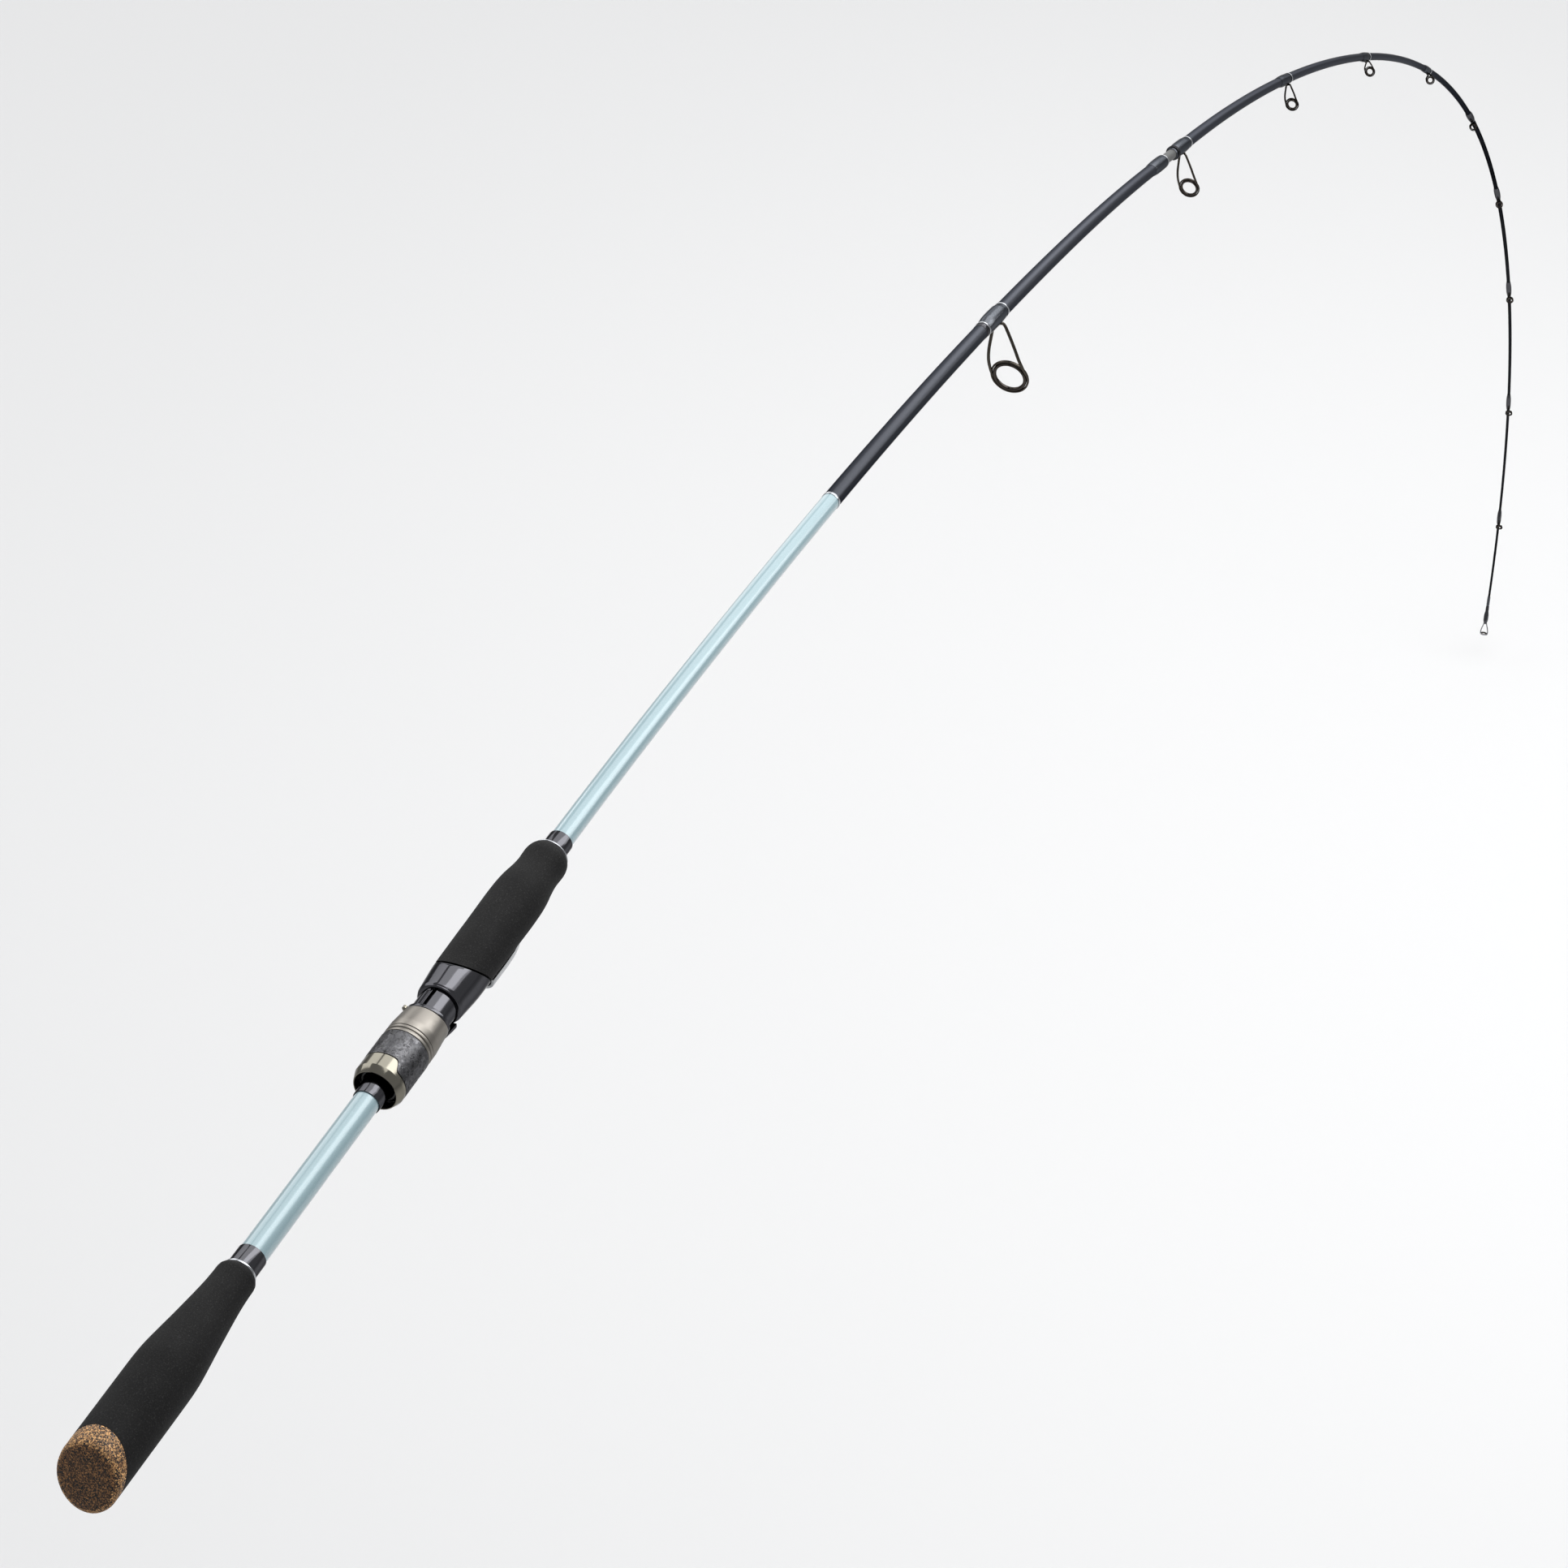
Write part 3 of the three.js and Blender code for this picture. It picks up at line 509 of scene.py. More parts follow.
def wrap_material():
    """Dark thread wound round the blank, seen through clear varnish."""
    m = new_material("wrap_varnish", (0.08, 0.084, 0.092), 0.13, 1.0, Specular_Tint=(*grey(0.3), 1.0))
    t = m.node_tree
    wave = add_node(t, "ShaderNodeTexWave", wave_type="BANDS", bands_direction="X",
                    in_Scale=1400.0, in_Distortion=0.6)
    t.links.new(coords(t, "UV"), wave.inputs["Vector"])
    tones = [(0.1, (0.09, 0.096, 0.106)), (0.8, (0.16, 0.169, 0.188))]
    link(t, ramp(t, wave.outputs["Fac"], tones), "Base Color")
    bump(t, wave.outputs["Fac"], 0.18, 0.00005)
    return m


# The graphite is darkest just past the colour change and along the tip.
GRAPHITE_FADE = [
    (COLOUR_CHANGE, 0.6), (900, 0.38), (1200, 0.18), (1450, 0.0), (1640, 0.0), (1720, 0.55), (1900, 1.0),
]

MATERIALS = {
    "foam": foam(),
    "cork": burl("burl_cork", (0.56, 0.31, 0.12), (0.27, 0.125, 0.045), (0.012, 0.009, 0.008)),
    # The rear face of the cap gets this darker copy of the burl: painted shade.
    "cork_face": burl("burl_cork_painted_shade", (0.25, 0.12, 0.042), (0.11, 0.05, 0.02), (0.007, 0.006, 0.006)),
    "gloss_black": polish("gloss_black", (0.080, 0.080, 0.087), 0.10, 1.0, edge=0.42),
    "blue": lacquer("pearl_blue", (0.27, 0.385, 0.42), (0.235, 0.355, 0.395), 0.1, 0.3, coat=0.8),
    "graphite": lacquer("graphite_satin", (0.122, 0.128, 0.146), (0.100, 0.105, 0.120), 1.0, 0.31,
                        edge=0.3, fade=GRAPHITE_FADE),
    "spigot_grey": lacquer("spigot_grey", (0.085, 0.086, 0.085), (0.07, 0.07, 0.07), 0.3, 0.55),
    "champagne": polish("champagne_satin", (0.235, 0.22, 0.198), 0.34, 1.0, turned=0.12, edge=0.6),
    "gold": polish("pale_gold", (0.225, 0.212, 0.175), 0.12, 1.0, turned=0.03, edge=0.6),
    "forged": forged(),
    "steel": polish("bright_trim", (0.40, 0.41, 0.43), 0.14, 1.0),
    "hood_metal": polish("hood_satin_steel", (0.42, 0.43, 0.44), 0.26, 1.0, turned=0.06),
    "guide_metal": polish("gunmetal", (0.075, 0.066, 0.056), 0.2, 1.0, edge=0.2),
    "guide_dark": polish("gunmetal_dark", (0.030, 0.027, 0.024), 0.25, 1.0, edge=0.1),
    "ceramic": polish("ceramic_ring", (0.062, 0.054, 0.048), 0.06, 1.0, edge=0.35),
    "wrap": wrap_material(),
    # Near black for what shows inside the nut's mouth: painted shade.
    "dark": polish("recess_painted_shade", (0.008, 0.008, 0.008), 0.35),
}

# ---------- Grips ----------
CAP_REAR, CAP_REAR_SLOPE = -4.0, 0.38
CAP_FRONT, CAP_FRONT_SLOPE = 3.0, 0.66
CAP_RADIUS = 14.6
REAR_BORE = 6.9
FORE_CUT, FORE_SLOPE = 324.0, -0.75
FORE_END = 409
# The fore grip is hollow up to this station, round the rear of the seat's tube.
FORE_POCKET_END = 366.5
# How closely a face of the cap has to look to the rear to take the darker copy of the burl: painted shade.
PAINTED_SHADE_FACING = 0.93


def slanted(slope, points):
    """Profile points (station, radius, share) on planes that slant by that share of the slope."""
    return [(s, radius, 0, slope * share) for s, radius, share in points]


def butt_cap():
    front = CAP_FRONT - 0.1
    outer = slanted(CAP_REAR_SLOPE, [
        (CAP_REAR, 0.0, 1), (CAP_REAR, 8.0, 1), (CAP_REAR, 12.2, 1), (CAP_REAR + 0.5, 13.4, 1),
        (CAP_REAR + 1.5, 14.2, 1.05), (CAP_REAR + 3.0, CAP_RADIUS, 1.15),
    ])
    outer += slanted(CAP_FRONT_SLOPE, [(front, CAP_RADIUS, 1), (front, REAR_BORE, 1), (front, 0.0, 0)])
    cap = turned_piece("butt_cap_burl", outer, "cork cork_face", "cork", node="butt_cap",
                       segments=96, closed=False)
    rearward = Vector((-1.0, 0.0, CAP_REAR_SLOPE)).normalized()
    for face in cap.data.polygons:
        # Faces that look to the rear get the darker burl copy, which is painted shade.
        if face.normal.dot(rearward) > PAINTED_SHADE_FACING:
            face.material_index = 1


def rear_grip():
    start = CAP_FRONT + 0.1
    outer = smooth(slanted(CAP_FRONT_SLOPE, [(start, CAP_RADIUS, 1), (26, CAP_RADIUS, 0.2)]) + [
        (42, 14.6), (52, 14.58), (58, 14.5), (63, 14.25), (68, 13.8), (76, 12.85), (86, 11.65), (96, 10.55),
        (103, 9.85), (108, 9.45), (113, 9.22), (117, 9.12),
    ])
    front = [(118.4, 8.9), (119.5, 8.3), (120, 7.4), (120, REAR_BORE)]
    bore = [(30, REAR_BORE), (start, REAR_BORE, 0, CAP_FRONT_SLOPE)]
    turned_piece("rear_grip_foam", outer + front + bore, "foam", "foam", node="rear_grip", segments=96)


def fore_grip():
    start = FORE_CUT + 0.3
    outer = smooth(slanted(FORE_SLOPE, [(start, 12.3, 1), (340, 12.45, 0.25)]) + [
        (352, 12.5), (364, 12.65), (372, 12.65), (378, 12.5), (384, 12.0), (389, 11.25), (393, 10.75),
        (397, 10.5), (401, 10.6), (404, 10.62), (406.3, 10.3), (407.8, 9.8), (408.7, 9.2), (FORE_END, 8.6),
    ])
    inner = [
        (FORE_END, 6.0), (FORE_POCKET_END, 6.0), (FORE_POCKET_END, 9.85), (FORE_CUT + 22, 9.85),
        (start, 9.95, 0, FORE_SLOPE),
    ]
    floor_radius, gap_end = 9.9, FORE_POCKET_END - 0.1

    def bed_gap(s, r, theta):
        """Leaves the underside free for the fixed hood, and closes again over the last 10 mm."""
        y, z = r * np.sin(theta), r * np.cos(theta)
        near_bed = (z < -6.0) & (np.abs(y) < 9.3) & (s < gap_end)
        reach = np.clip((gap_end - s) / 10, 0, 1)
        return np.where(near_bed & (r > floor_radius), floor_radius + (r - floor_radius) * (1 - reach), r)

    turned_piece("fore_grip_foam", outer + inner, "foam", "foam", node="fore_grip",
                 segments=128, shape=bed_gap)


# ---------- Reel seat ----------
FLAT_ENDS = (BED_STATION - 20, BED_STATION + 37)
THREAD_START, THREAD_STEP, THREAD_TURNS = 246, 4, 9
THREAD_ROOT, THREAD_CREST = 8.85, 9.15
BARREL_RADIUS = 9.2
KEY_ENDS, KEY_HALF_WIDTH, KEY_FLOOR = (283.3, 299.5), 0.9, 7.9
LIP_EDGE, LIP_RISE = 1.4, 0.15
HATCH_START, HATCH_STEP, HATCH_EDGES, HATCH_DEPTH = 283.0, 0.4, (2.0, 4.6), 0.2
# The barrel is near black up to this station, where the nut and the collar run: painted shade in the nut's
# mouth.
RECESS_SHADE_END = 284
# Radius of the flare by station. Its points in the profile stand at FLARE_MARK and take their radius here.
FLARE = [
    (301.2, 11.0), (303, 11.2), (306, 11.45), (309, 11.7), (312, 11.95), (315, 12.15), (318, 12.28),
    (345, 12.35),
]
FLARE_MARK = 11


def seat_radius(s, r, theta):
    """Cuts the key slot with its lips and hatching, sets the flare, and flattens the bed of the reel foot."""
    from_key = np.minimum(theta, 2 * math.pi - theta) * BARREL_RADIUS
    across = theta * BARREL_RADIUS
    strip = (s > KEY_ENDS[0]) & (s < KEY_ENDS[1]) & (r > 9) & (r < 9.5)
    slot = strip & (from_key < KEY_HALF_WIDTH)
    mark = np.round((s - HATCH_START) / HATCH_STEP) % 2 > 0.5
    hatch = strip & (across > HATCH_EDGES[0]) & (across < HATCH_EDGES[1]) & mark
    lip = strip & (from_key > KEY_HALF_WIDTH) & (from_key < LIP_EDGE)
    r = np.where(hatch, r - HATCH_DEPTH, r)
    r = np.where(lip, r + LIP_RISE, r)
    flare = np.interp(s, *zip(*FLARE))
    rounding = (12.0 - np.minimum(r, 12.0)) * (r > 11.2)
    r = np.where((r > 10.8) & (s > 301.1), flare - rounding, r)
    r = np.where(slot, KEY_FLOOR, r)
    below = (r * np.cos(theta) < -BED_DROP) & (s > FLAT_ENDS[0]) & (s < FLAT_ENDS[1])
    return np.where(below, -BED_DROP / np.minimum(np.cos(theta), -1e-3), r)


def reel_seat():
    outer = [(244, 8.4), (244.6, THREAD_ROOT)]
    for k in range(THREAD_TURNS):
        s = THREAD_START + k * THREAD_STEP
        outer += [(s, THREAD_ROOT), (s + 0.5, THREAD_CREST), (s + 2.6, THREAD_CREST), (s + 3.1, THREAD_ROOT)]
    outer += [(HATCH_START + HATCH_STEP * k, BARREL_RADIUS) for k in range(42)]
    outer += [
        (299.9, BARREL_RADIUS), (299.95, 10.0), (300.05, 10.4), (300.3, 10.65), (300.7, 10.75),
        (301.0, 10.78), (301.3, FLARE_MARK),
    ]
    outer += slanted(FORE_SLOPE, [
        (302.5, FLARE_MARK, 0.04), (305, FLARE_MARK, 0.12), (308, FLARE_MARK, 0.27), (311, FLARE_MARK, 0.42),
        (314, FLARE_MARK, 0.57), (317, FLARE_MARK, 0.71), (320, FLARE_MARK, 0.85), (FORE_CUT - 0.9, 12.0, 1),
        (FORE_CUT - 0.5, 11.5, 1), (FORE_CUT - 0.4, 10.6, 1), (FORE_CUT - 0.4, 9.9, 1),
    ])
    outer += [(346, 9.5), (366, 9.5), (366, 7.7), (244, 7.7)]
    # The barrel inside the nut takes the near-black second material: painted shade.
    turned_piece("reel_seat_shell", outer, "gloss_black dark", "gloss_black", node="reel_seat_body",
                 segments=180, shape=seat_radius, mat=lambda u1, u2: int(max(u1, u2) < RECESS_SHADE_END * MM))


def hood_loop(s, half_width, bottom, top=-10.0, count=28, squareness=0.75, top_steps=8):
    """Outline of a hood at a station: flat above, round below, as rows of x, y, z in mm."""
    rows = []
    x = s - BED_STATION
    for i in range(count + 1):
        a = math.pi * i / count
        y = -half_width * math.copysign(abs(math.cos(a)) ** squareness, math.cos(a))
        rows.append((x, y, top - (top - bottom) * math.sin(a) ** squareness + BED_DROP))
    for i in range(1, top_steps):
        rows.append((x, half_width * (1 - 2 * i / top_steps), top + BED_DROP))
    return rows


def fixed_hood():
    shape = Shape()
    outer = [
        (333.0, 8.7, -16.2), (333.4, 8.9, -16.5), (337, 8.95, -16.55), (342, 9.0, -16.6), (348, 9.0, -16.6),
        (354, 8.8, -16.4), (359, 8.2, -15.8), (364, 7.0, -14.7), (368.5, 5.2, -13.3), (372, 3.2, -12.0),
    ]
    inner = [(346.5, 6.2, -13.2), (344, 7.2, -14.6), (333.4, 7.6, -14.9), (333.0, 7.8, -15.1)]
    loops = [hood_loop(*row) for row in outer] + [hood_loop(*row, top=-10.1) for row in inner]
    shape.loft(loops, caps=False)
    shape.loft([loops[-1], loops[0]], caps=False)
    # Flat faces inside the rear end.
    for loop in loops[7:9]:
        base = shape.count()
        shape.verts.append(np.array(loop))
        shape.flat_face(base, len(loop))
    shape.object("fixed_hood_metal", "root", ["fixed_hood"], "hood_metal", "hood_metal")


# ---------- Moving hood ----------
COLLAR_SLOPE = -0.2
# Radius at a station that the hood's rear keeps clear of, round the barrel.
COLLAR_RADIUS = [(272.1, 12.15), (289.8, 10.95), (290.1, 10.0)]
NUB_ANGLE = math.radians(56)
NUB_STATION, NUB_LIFT, NUB_RADIUS, NUB_HALF_LENGTH = 287.3, 10.95, 1.15, 0.75


def moving_hood():
    shape = Shape()
    shape.lathe(filleted([
        (288.3, 9.45, 0, COLLAR_SLOPE), (288.3, 10.4, 0.3, COLLAR_SLOPE), (290.3, 10.3, 0.3, COLLAR_SLOPE),
        (290.3, 9.45, 0, COLLAR_SLOPE),
    ]), 96)
    under_collar = [(284, 2.6, -12.1), (287, 4.2, -12.2), (290, 5.3, -12.5)]
    loops = [hood_loop(*row, top=-float(np.interp(row[0], *zip(*COLLAR_RADIUS))) - 0.1) for row in under_collar]
    outer = [(293, 6.0, -13.2), (298, 6.6, -14.0), (301.1, 6.9, -14.4), (301.5, 6.7, -14.2)]
    inner = [(301.2, 5.9, -13.5), (292.4, 5.0, -12.4)]
    loops += [hood_loop(*row) for row in outer] + [hood_loop(*row, top=-10.15) for row in inner]
    shape.loft(loops)
    shape.object("moving_hood_shell", "hood", ["moving_hood"], "gloss_black", "gloss_black")


def hood_collar():
    shape = Shape()
    shape.lathe(filleted([
        (272.1, 9.5), (272.1, 11.85, 0.35), (276, 11.85, 0.3), (287.9, 10.7, 0.35, COLLAR_SLOPE),
        (287.9, 9.5, 0, COLLAR_SLOPE),
    ]), 128)
    spine = [(272.6, 3.0, -12.2), (274.5, 4.4, -12.7), (283.0, 5.0, -12.65), (288.6, 5.2, -12.4)]
    shape.loft([hood_loop(*row, top=-10.6) for row in spine])
    y, z = NUB_LIFT * math.sin(NUB_ANGLE), NUB_LIFT * math.cos(NUB_ANGLE) + BED_DROP
    x = NUB_STATION - BED_STATION
    shape.tube([(x + end * NUB_HALF_LENGTH, y, z) for end in (-1, 0, 1)], NUB_RADIUS, 16, mat=1)
    shape.object("hood_collar_metal", "hood", ["hood_collar"], "champagne", "champagne gold")


# ---------- Hood nut ----------
NUT_SEGMENTS = 192
BORDER_LOW, BORDER_HIGH = 246.2, 251.7
BORDER_CENTRE, BORDER_REACH = math.radians(25), math.radians(66)
BORDER_SHARPNESS = 24


def nut_border(theta):
    """Station of the border between the end ring and the forged sleeve: forward above, back below."""
    inside = np.cos(theta - BORDER_CENTRE) - math.cos(BORDER_REACH)
    blend = 1 / (1 + np.exp(-inside * BORDER_SHARPNESS))
    return BORDER_LOW + (BORDER_HIGH - BORDER_LOW) * blend


def bordered_piece(name, rows, node, material, **options):
    """A turned piece from rows (station, radius, flag); with flag 1 the station is measured from the border."""
    rows = np.array(rows)
    theta = angles(NUT_SEGMENTS)
    s = np.where(rows[:, 2:3] > 0.5, nut_border(theta)[None, :] + rows[:, 0:1], rows[:, 0:1])
    r = np.repeat(rows[:, 1:2], NUT_SEGMENTS, 1)
    shape = Shape()
    shape.grid(turned_points(s, r, theta), turned_uv(s, theta), True)
    shape.object(name, "nut", [node], material, material, **options)


def nut():
    bordered_piece("nut_end_ring_metal", [
        (240.5, 10.15, 0), (240.5, 10.45, 0), (240.6, 10.58, 0), (240.75, 10.66, 0), (244.1, 11.92, 0),
        (244.4, 12.0, 0), (-0.25, 12.0, 1), (-0.08, 11.93, 1), (0.0, 11.75, 1), (0.0, 10.95, 1),
        (242.2, 10.95, 0), (241.6, 10.15, 0),
    ], "nut_end_ring", "gold", sharp=9)
    bordered_piece("nut_sleeve_forged", [
        (0.3, 10.95, 1), (0.3, 11.8, 1), (0.4, 11.98, 1), (0.6, 12.04, 1), (258.0, 12.05, 0),
        (267.1, 12.05, 0), (267.45, 11.97, 0), (267.6, 11.7, 0), (267.6, 10.95, 0),
    ], "nut_sleeve", "forged")
    core = tube_profile(247.5, 272, 9.5, 10.6, 0.2)
    # The core shows in the nut's mouth; its near-black material is painted shade.
    turned_piece("nut_core_tube", core, "dark", "gloss_black", "nut", "nut_core", segments=96)
    groove = filleted([
        (267.9, 10.9), (267.9, 11.9, 0.2), (269.35, 11.9, 0.2), (269.6, 11.35, 0.1), (270.1, 11.35, 0.1),
        (270.35, 11.9, 0.2), (271.8, 11.9, 0.2), (271.8, 10.9),
    ])
    turned_piece("nut_groove_ring_metal", groove, "champagne", "champagne", "nut", "nut_groove_ring",
                 segments=128)


def arbors():
    rear = filleted([
        (232.5, 6.32), (232.5, 6.5, 0.1), (236, 6.6, 0.8), (242, 6.95, 1.0), (249, 7.2, 0.8), (260, 7.4),
        (260, 6.32),
    ])
    turned_piece("rear_arbor_tube", rear, "gloss_black", "gloss_black", node="rear_arbor", segments=72)
    front = tube_profile(340, 365, 6.05, 7.4)
    turned_piece("front_arbor_tube", front, "graphite", "graphite", node="front_arbor", segments=48)


def trims():
    change, ferrule = butt_radius(COLOUR_CHANGE), butt_radius(1180)
    # Node, start, end, bore, radius, material, fillet.
    table = [
        ("rear_winding_check", 120.3, 121.6, 6.65, 7.5, "steel", 0.5),
        ("rear_trim_band", 121.9, 131.6, 6.62, 6.7, "gloss_black", 0.1),
        ("fore_winding_check", 409.3, 410.3, 5.95, 8.9, "steel", 0.5),
        ("fore_trim_band", 410.6, 420.6, 5.9, 6.1, "gloss_black", 0.1),
        ("colour_change_band", 721.2, 722.8, change + 0.05, change + 0.22, "steel", 0.2),
        ("ferrule_trim", 1180.3, 1181.3, ferrule + 0.05, ferrule + 0.45, "steel", 0.25),
    ]
    for node, start, end, bore, radius, material, fillet in table:
        profile = tube_profile(start, end, bore, radius, fillet)
        turned_piece(node + "_ring", profile, material, material, node=node, segments=72)


# ---------- Blank ----------
SPIGOT_START, SPIGOT_END, SPIGOT_RADIUS = 1128, 1221, 2.9


def blanks():
    shape = Shape()
    outer = [(s, butt_radius(s)) for s in (4, COLOUR_CHANGE, BUTT_SECTION_END - 0.6)]
    outer += [(BUTT_SECTION_END, butt_radius(BUTT_SECTION_END) - 0.3)]
    bore = [(BUTT_SECTION_END, 3.2), (SPIGOT_START, 3.2), (4, 5.2)]
    change = COLOUR_CHANGE * MM + 1e-6
    shape.lathe(outer + bore, 64, mat=lambda u1, u2: 0 if max(u1, u2) <= change else 1)
    shape.object("butt_section_blank", "root", ["butt_blank"], "blue_paint", "blue graphite")

    tip = [(TIP_SECTION_START, 3.2), (TIP_SECTION_START, float(tip_radius(TIP_SECTION_START)) - 0.25)]
    tip += [(float(s), float(tip_radius(s))) for s in np.linspace(TIP_SECTION_START + 0.6, 2287.5, 60)]
    tip += [(TIP_SECTION_END, 0.45), (TIP_SECTION_END, 0.0), (1420, 0.0), (1420, 1.2), (1240, 2.8)]
    turned_piece("tip_section_blank", tip, "graphite", "graphite", "tip_section", "tip_blank", segments=40)

    spigot = filleted([
        (SPIGOT_START, 0.0), (SPIGOT_START, SPIGOT_RADIUS, 0.4), (SPIGOT_END, SPIGOT_RADIUS, 0.8),
        (SPIGOT_END, 0.0),
    ])
    turned_piece("spigot_rod", spigot, "spigot_grey", "graphite", node="spigot", segments=40)

    r = butt_radius(1170)
    wrap = smooth([
        (1162, r + 0.12), (1164.5, r + 0.4), (1169, r + 0.6), (1176, r + 0.6), (1179.2, r + 0.5),
        (1180.0, r + 0.3),
    ])
    wrap += [(1180.0, r + 0.05), (1162, r + 0.05)]
    turned_piece("ferrule_wrap_varnish", wrap, "wrap", "epoxy", node="ferrule_wrap", segments=48)


# ---------- Guides ----------
# Station of the ring, height below the axis, ring diameter, wire, wrap ends, station of the legs.
GUIDES = [
    (941, 37.5, 21.6, 1.5, (918.5, 942), 937), (1212.8, 25.0, 12.4, 1.1, (1196.6, 1218.3), 1211.5),
    (1394.5, 16, 8.4, 0.95, (1376, 1394.5), 1390), (1551.5, 9.4, 6.8, 0.8, (1536.5, 1550.5), 1547),
    (1693, 6.0, 6.0, 0.75, (1678, 1692), 1689), (1819.5, 4.8, 5.5, 0.7, (1804.5, 1818.5), 1815),
    (1931.5, 4.7, 5.3, 0.65, (1917.5, 1930.5), 1927.5), (2030, 4.7, 5.2, 0.65, (2016.5, 2029), 2026),
    (2127, 4.6, 5.1, 0.6, (2114, 2126), 2123), (2216.5, 4.6, 5.0, 0.6, (2204.5, 2215.5), 2212.5),
]
# Each leg from the foot to the ring: share of the drop, offset along and across in ring radii.
LEG_PATH = [
    (0.03, -0.34, 0.27), (0.09, -0.35, 0.37), (0.28, -0.40, 0.57), (0.47, -0.45, 0.75), (0.66, -0.42, 0.87),
    (0.86, -0.20, 0.945), (1.0, 0.02, 0.985),
]
# Share of the leg's length, and share of its full thickness there.
LEG_TAPER = ([0, 0.15, 0.8, 1], [0.7, 1.0, 1.0, 0.75])
# The section of the ceramic ring, in diameters of the guide's wire.
CERAMIC_SHARE = 1.3
# Rise of the varnish over the blank: for guides 1 and 2, for 3 to 5, and for the rest.
SWELL, SWELL_MIDDLE, SWELL_SMALL = {1: 0.55, 2: 0.5}, 0.4, 0.65
# Extra rise on the side away from the foot: for guides 1 and 2, and for the rest.
HUMP, HUMP_SMALL = {1: 0.5, 2: 0.3}, 0.12
# Share of the wrap's length, and share of the rise there.
SWELL_RUN = [(0.08, 0.45), (0.25, 0.85), (0.5, 1.0), (0.78, 0.85), (0.93, 0.5)]


def placed(station, points):
    """From a guide's own axes (along, across, up from the rod's axis) to the frame, in mm."""
    origin, along, up, side = frame_at(float(station), twist_at(station))
    p = np.atleast_2d(np.array(points, float))
    return origin + p[:, :1] * along + p[:, 1:2] * side + p[:, 2:3] * up


def hoop(shape, station, height, section, segments):
    """A ring with a closed section of (radius, along), tilted so that its lower edge leans to the tip."""
    theta = angles(segments)
    rows = []
    for radius, along in section:
        y, z = radius * np.sin(theta), radius * np.cos(theta)
        x = along * math.cos(RING_TILT) - z * math.sin(RING_TILT)
        z = along * math.sin(RING_TILT) + z * math.cos(RING_TILT)
        rows.append(placed(station, np.stack([x, y, z - height], -1)))
    uv = np.stack(np.meshgrid(np.arange(len(rows)) * MM, theta / (2 * math.pi), indexing="ij"), -1)
    shape.grid(np.array(rows), uv, True)


def squared_section(inner, outer, half, count=20, power=0.75):
    """A softly squared section between two radii."""
    middle, wide = (inner + outer) / 2, (outer - inner) / 2
    out = []
    for i in range(count):
        a = 2 * math.pi * i / count
        c, s = math.cos(a), math.sin(a)
        out.append((middle + wide * math.copysign(abs(c) ** power, c), half * math.copysign(abs(s) ** power, s)))
    return out


def oval_section(centre, wide, half, count=20):
    return [(centre + math.cos(a) * wide, math.sin(a) * half) for a in angles(count)]


def resampled(points, count=5):
    return np.array(smooth([tuple(q) + (0.0,) for q in points], count))[:, :3]


def guide_legs(shape, index, station, height, ring, wire, top, legs):
    """Two wires from the foot down to the ring."""
    drop = height - top - 0.4
    thickness = wire * (0.58 if index < 3 else 0.56)
    for hand in (1, -1):
        path = [
            (legs - station - 1.5 * wire, hand * wire * 0.4, -top - 0.35),
            (legs - station - 0.4, hand * 0.19 * ring, -top - 0.45),
        ]
        path += [(x * ring, hand * y * ring, -(top + 0.4) - share * drop) for share, x, y in LEG_PATH]
        fine = resampled(path)
        radii = np.interp(np.linspace(0, 1, len(fine)), *LEG_TAPER) * thickness
        shape.tube(placed(station, fine), radii)


def guide_foot(shape, station, wire, top, half_height, start, end):
    """The flat foot under the wrap, thinner at its tip."""
    loops = []
    for k, x in enumerate(np.linspace(start - station, end - station, 10)):
        grow = min(1.0, 0.35 + k * 0.16)
        loops.append(placed(station, [
            (x, math.cos(a) * wire * 0.75 * grow, -top - half_height * (1 + math.sin(a) * grow))
            for a in angles(14)
        ]))
    shape.loft(loops)


def guide_wrap(index, station, body, wrap, foot_depth):
    """The thread under varnish, from one end of the wrap to the other."""
    start, end = wrap
    length = end - start
    swell = SWELL.get(index, SWELL_MIDDLE if index < 6 else SWELL_SMALL)
    hump = HUMP.get(index, HUMP_SMALL)
    at_start, at_end = blank_radius(start), blank_radius(start + length)
    run = [(start + length * t, blank_radius(start + t * length) + swell * share) for t, share in SWELL_RUN]
    rows = smooth([(start, at_start + 0.12)] + run + [(end, at_end + 0.15)])
    rows += [(end, at_end + 0.04), (start, at_start + 0.04)]

    def saddle(s, r, theta):
        """The varnish swells over the foot, on the guide's side."""
        below = np.clip(-np.cos(theta), 0, 1) ** 8
        above = np.clip(np.cos(theta), 0, 1) * hump
        along = np.clip((s - start) / 6, 0, 1) * np.clip((end - s) / 5, 0, 1)
        along = along * along * (3 - 2 * along)
        bare = np.interp(s, [start, end], [at_start, at_end])
        lifted = np.maximum(r, r + (bare + foot_depth + 0.2 - r) * below * along) + above * along
        return np.where(r > bare + 0.08, lifted, r)

    cover = Shape()
    cover.lathe(rows, 56, twist=twist_at(station), shape=saddle)
    if index == 2:
        for s in (start + 0.5, start + 1.9):
            cover.lathe(tube_profile(s, s + 0.7, at_start + 0.1, at_start + 0.75, 0.2), 56, mat=1)
    elif 2 < index < 6:
        cover.lathe(tube_profile(end - 1.0, end - 0.2, at_end + 0.1, at_end + 0.48, 0.15), 40, mat=2)
    materials = ("wrap" if index < 6 else "gloss_black") + " gloss_black steel"
    cover.object(f"guide_{index}_wrap_varnish", body, [f"guide_{index}_wrap"], "epoxy", materials)


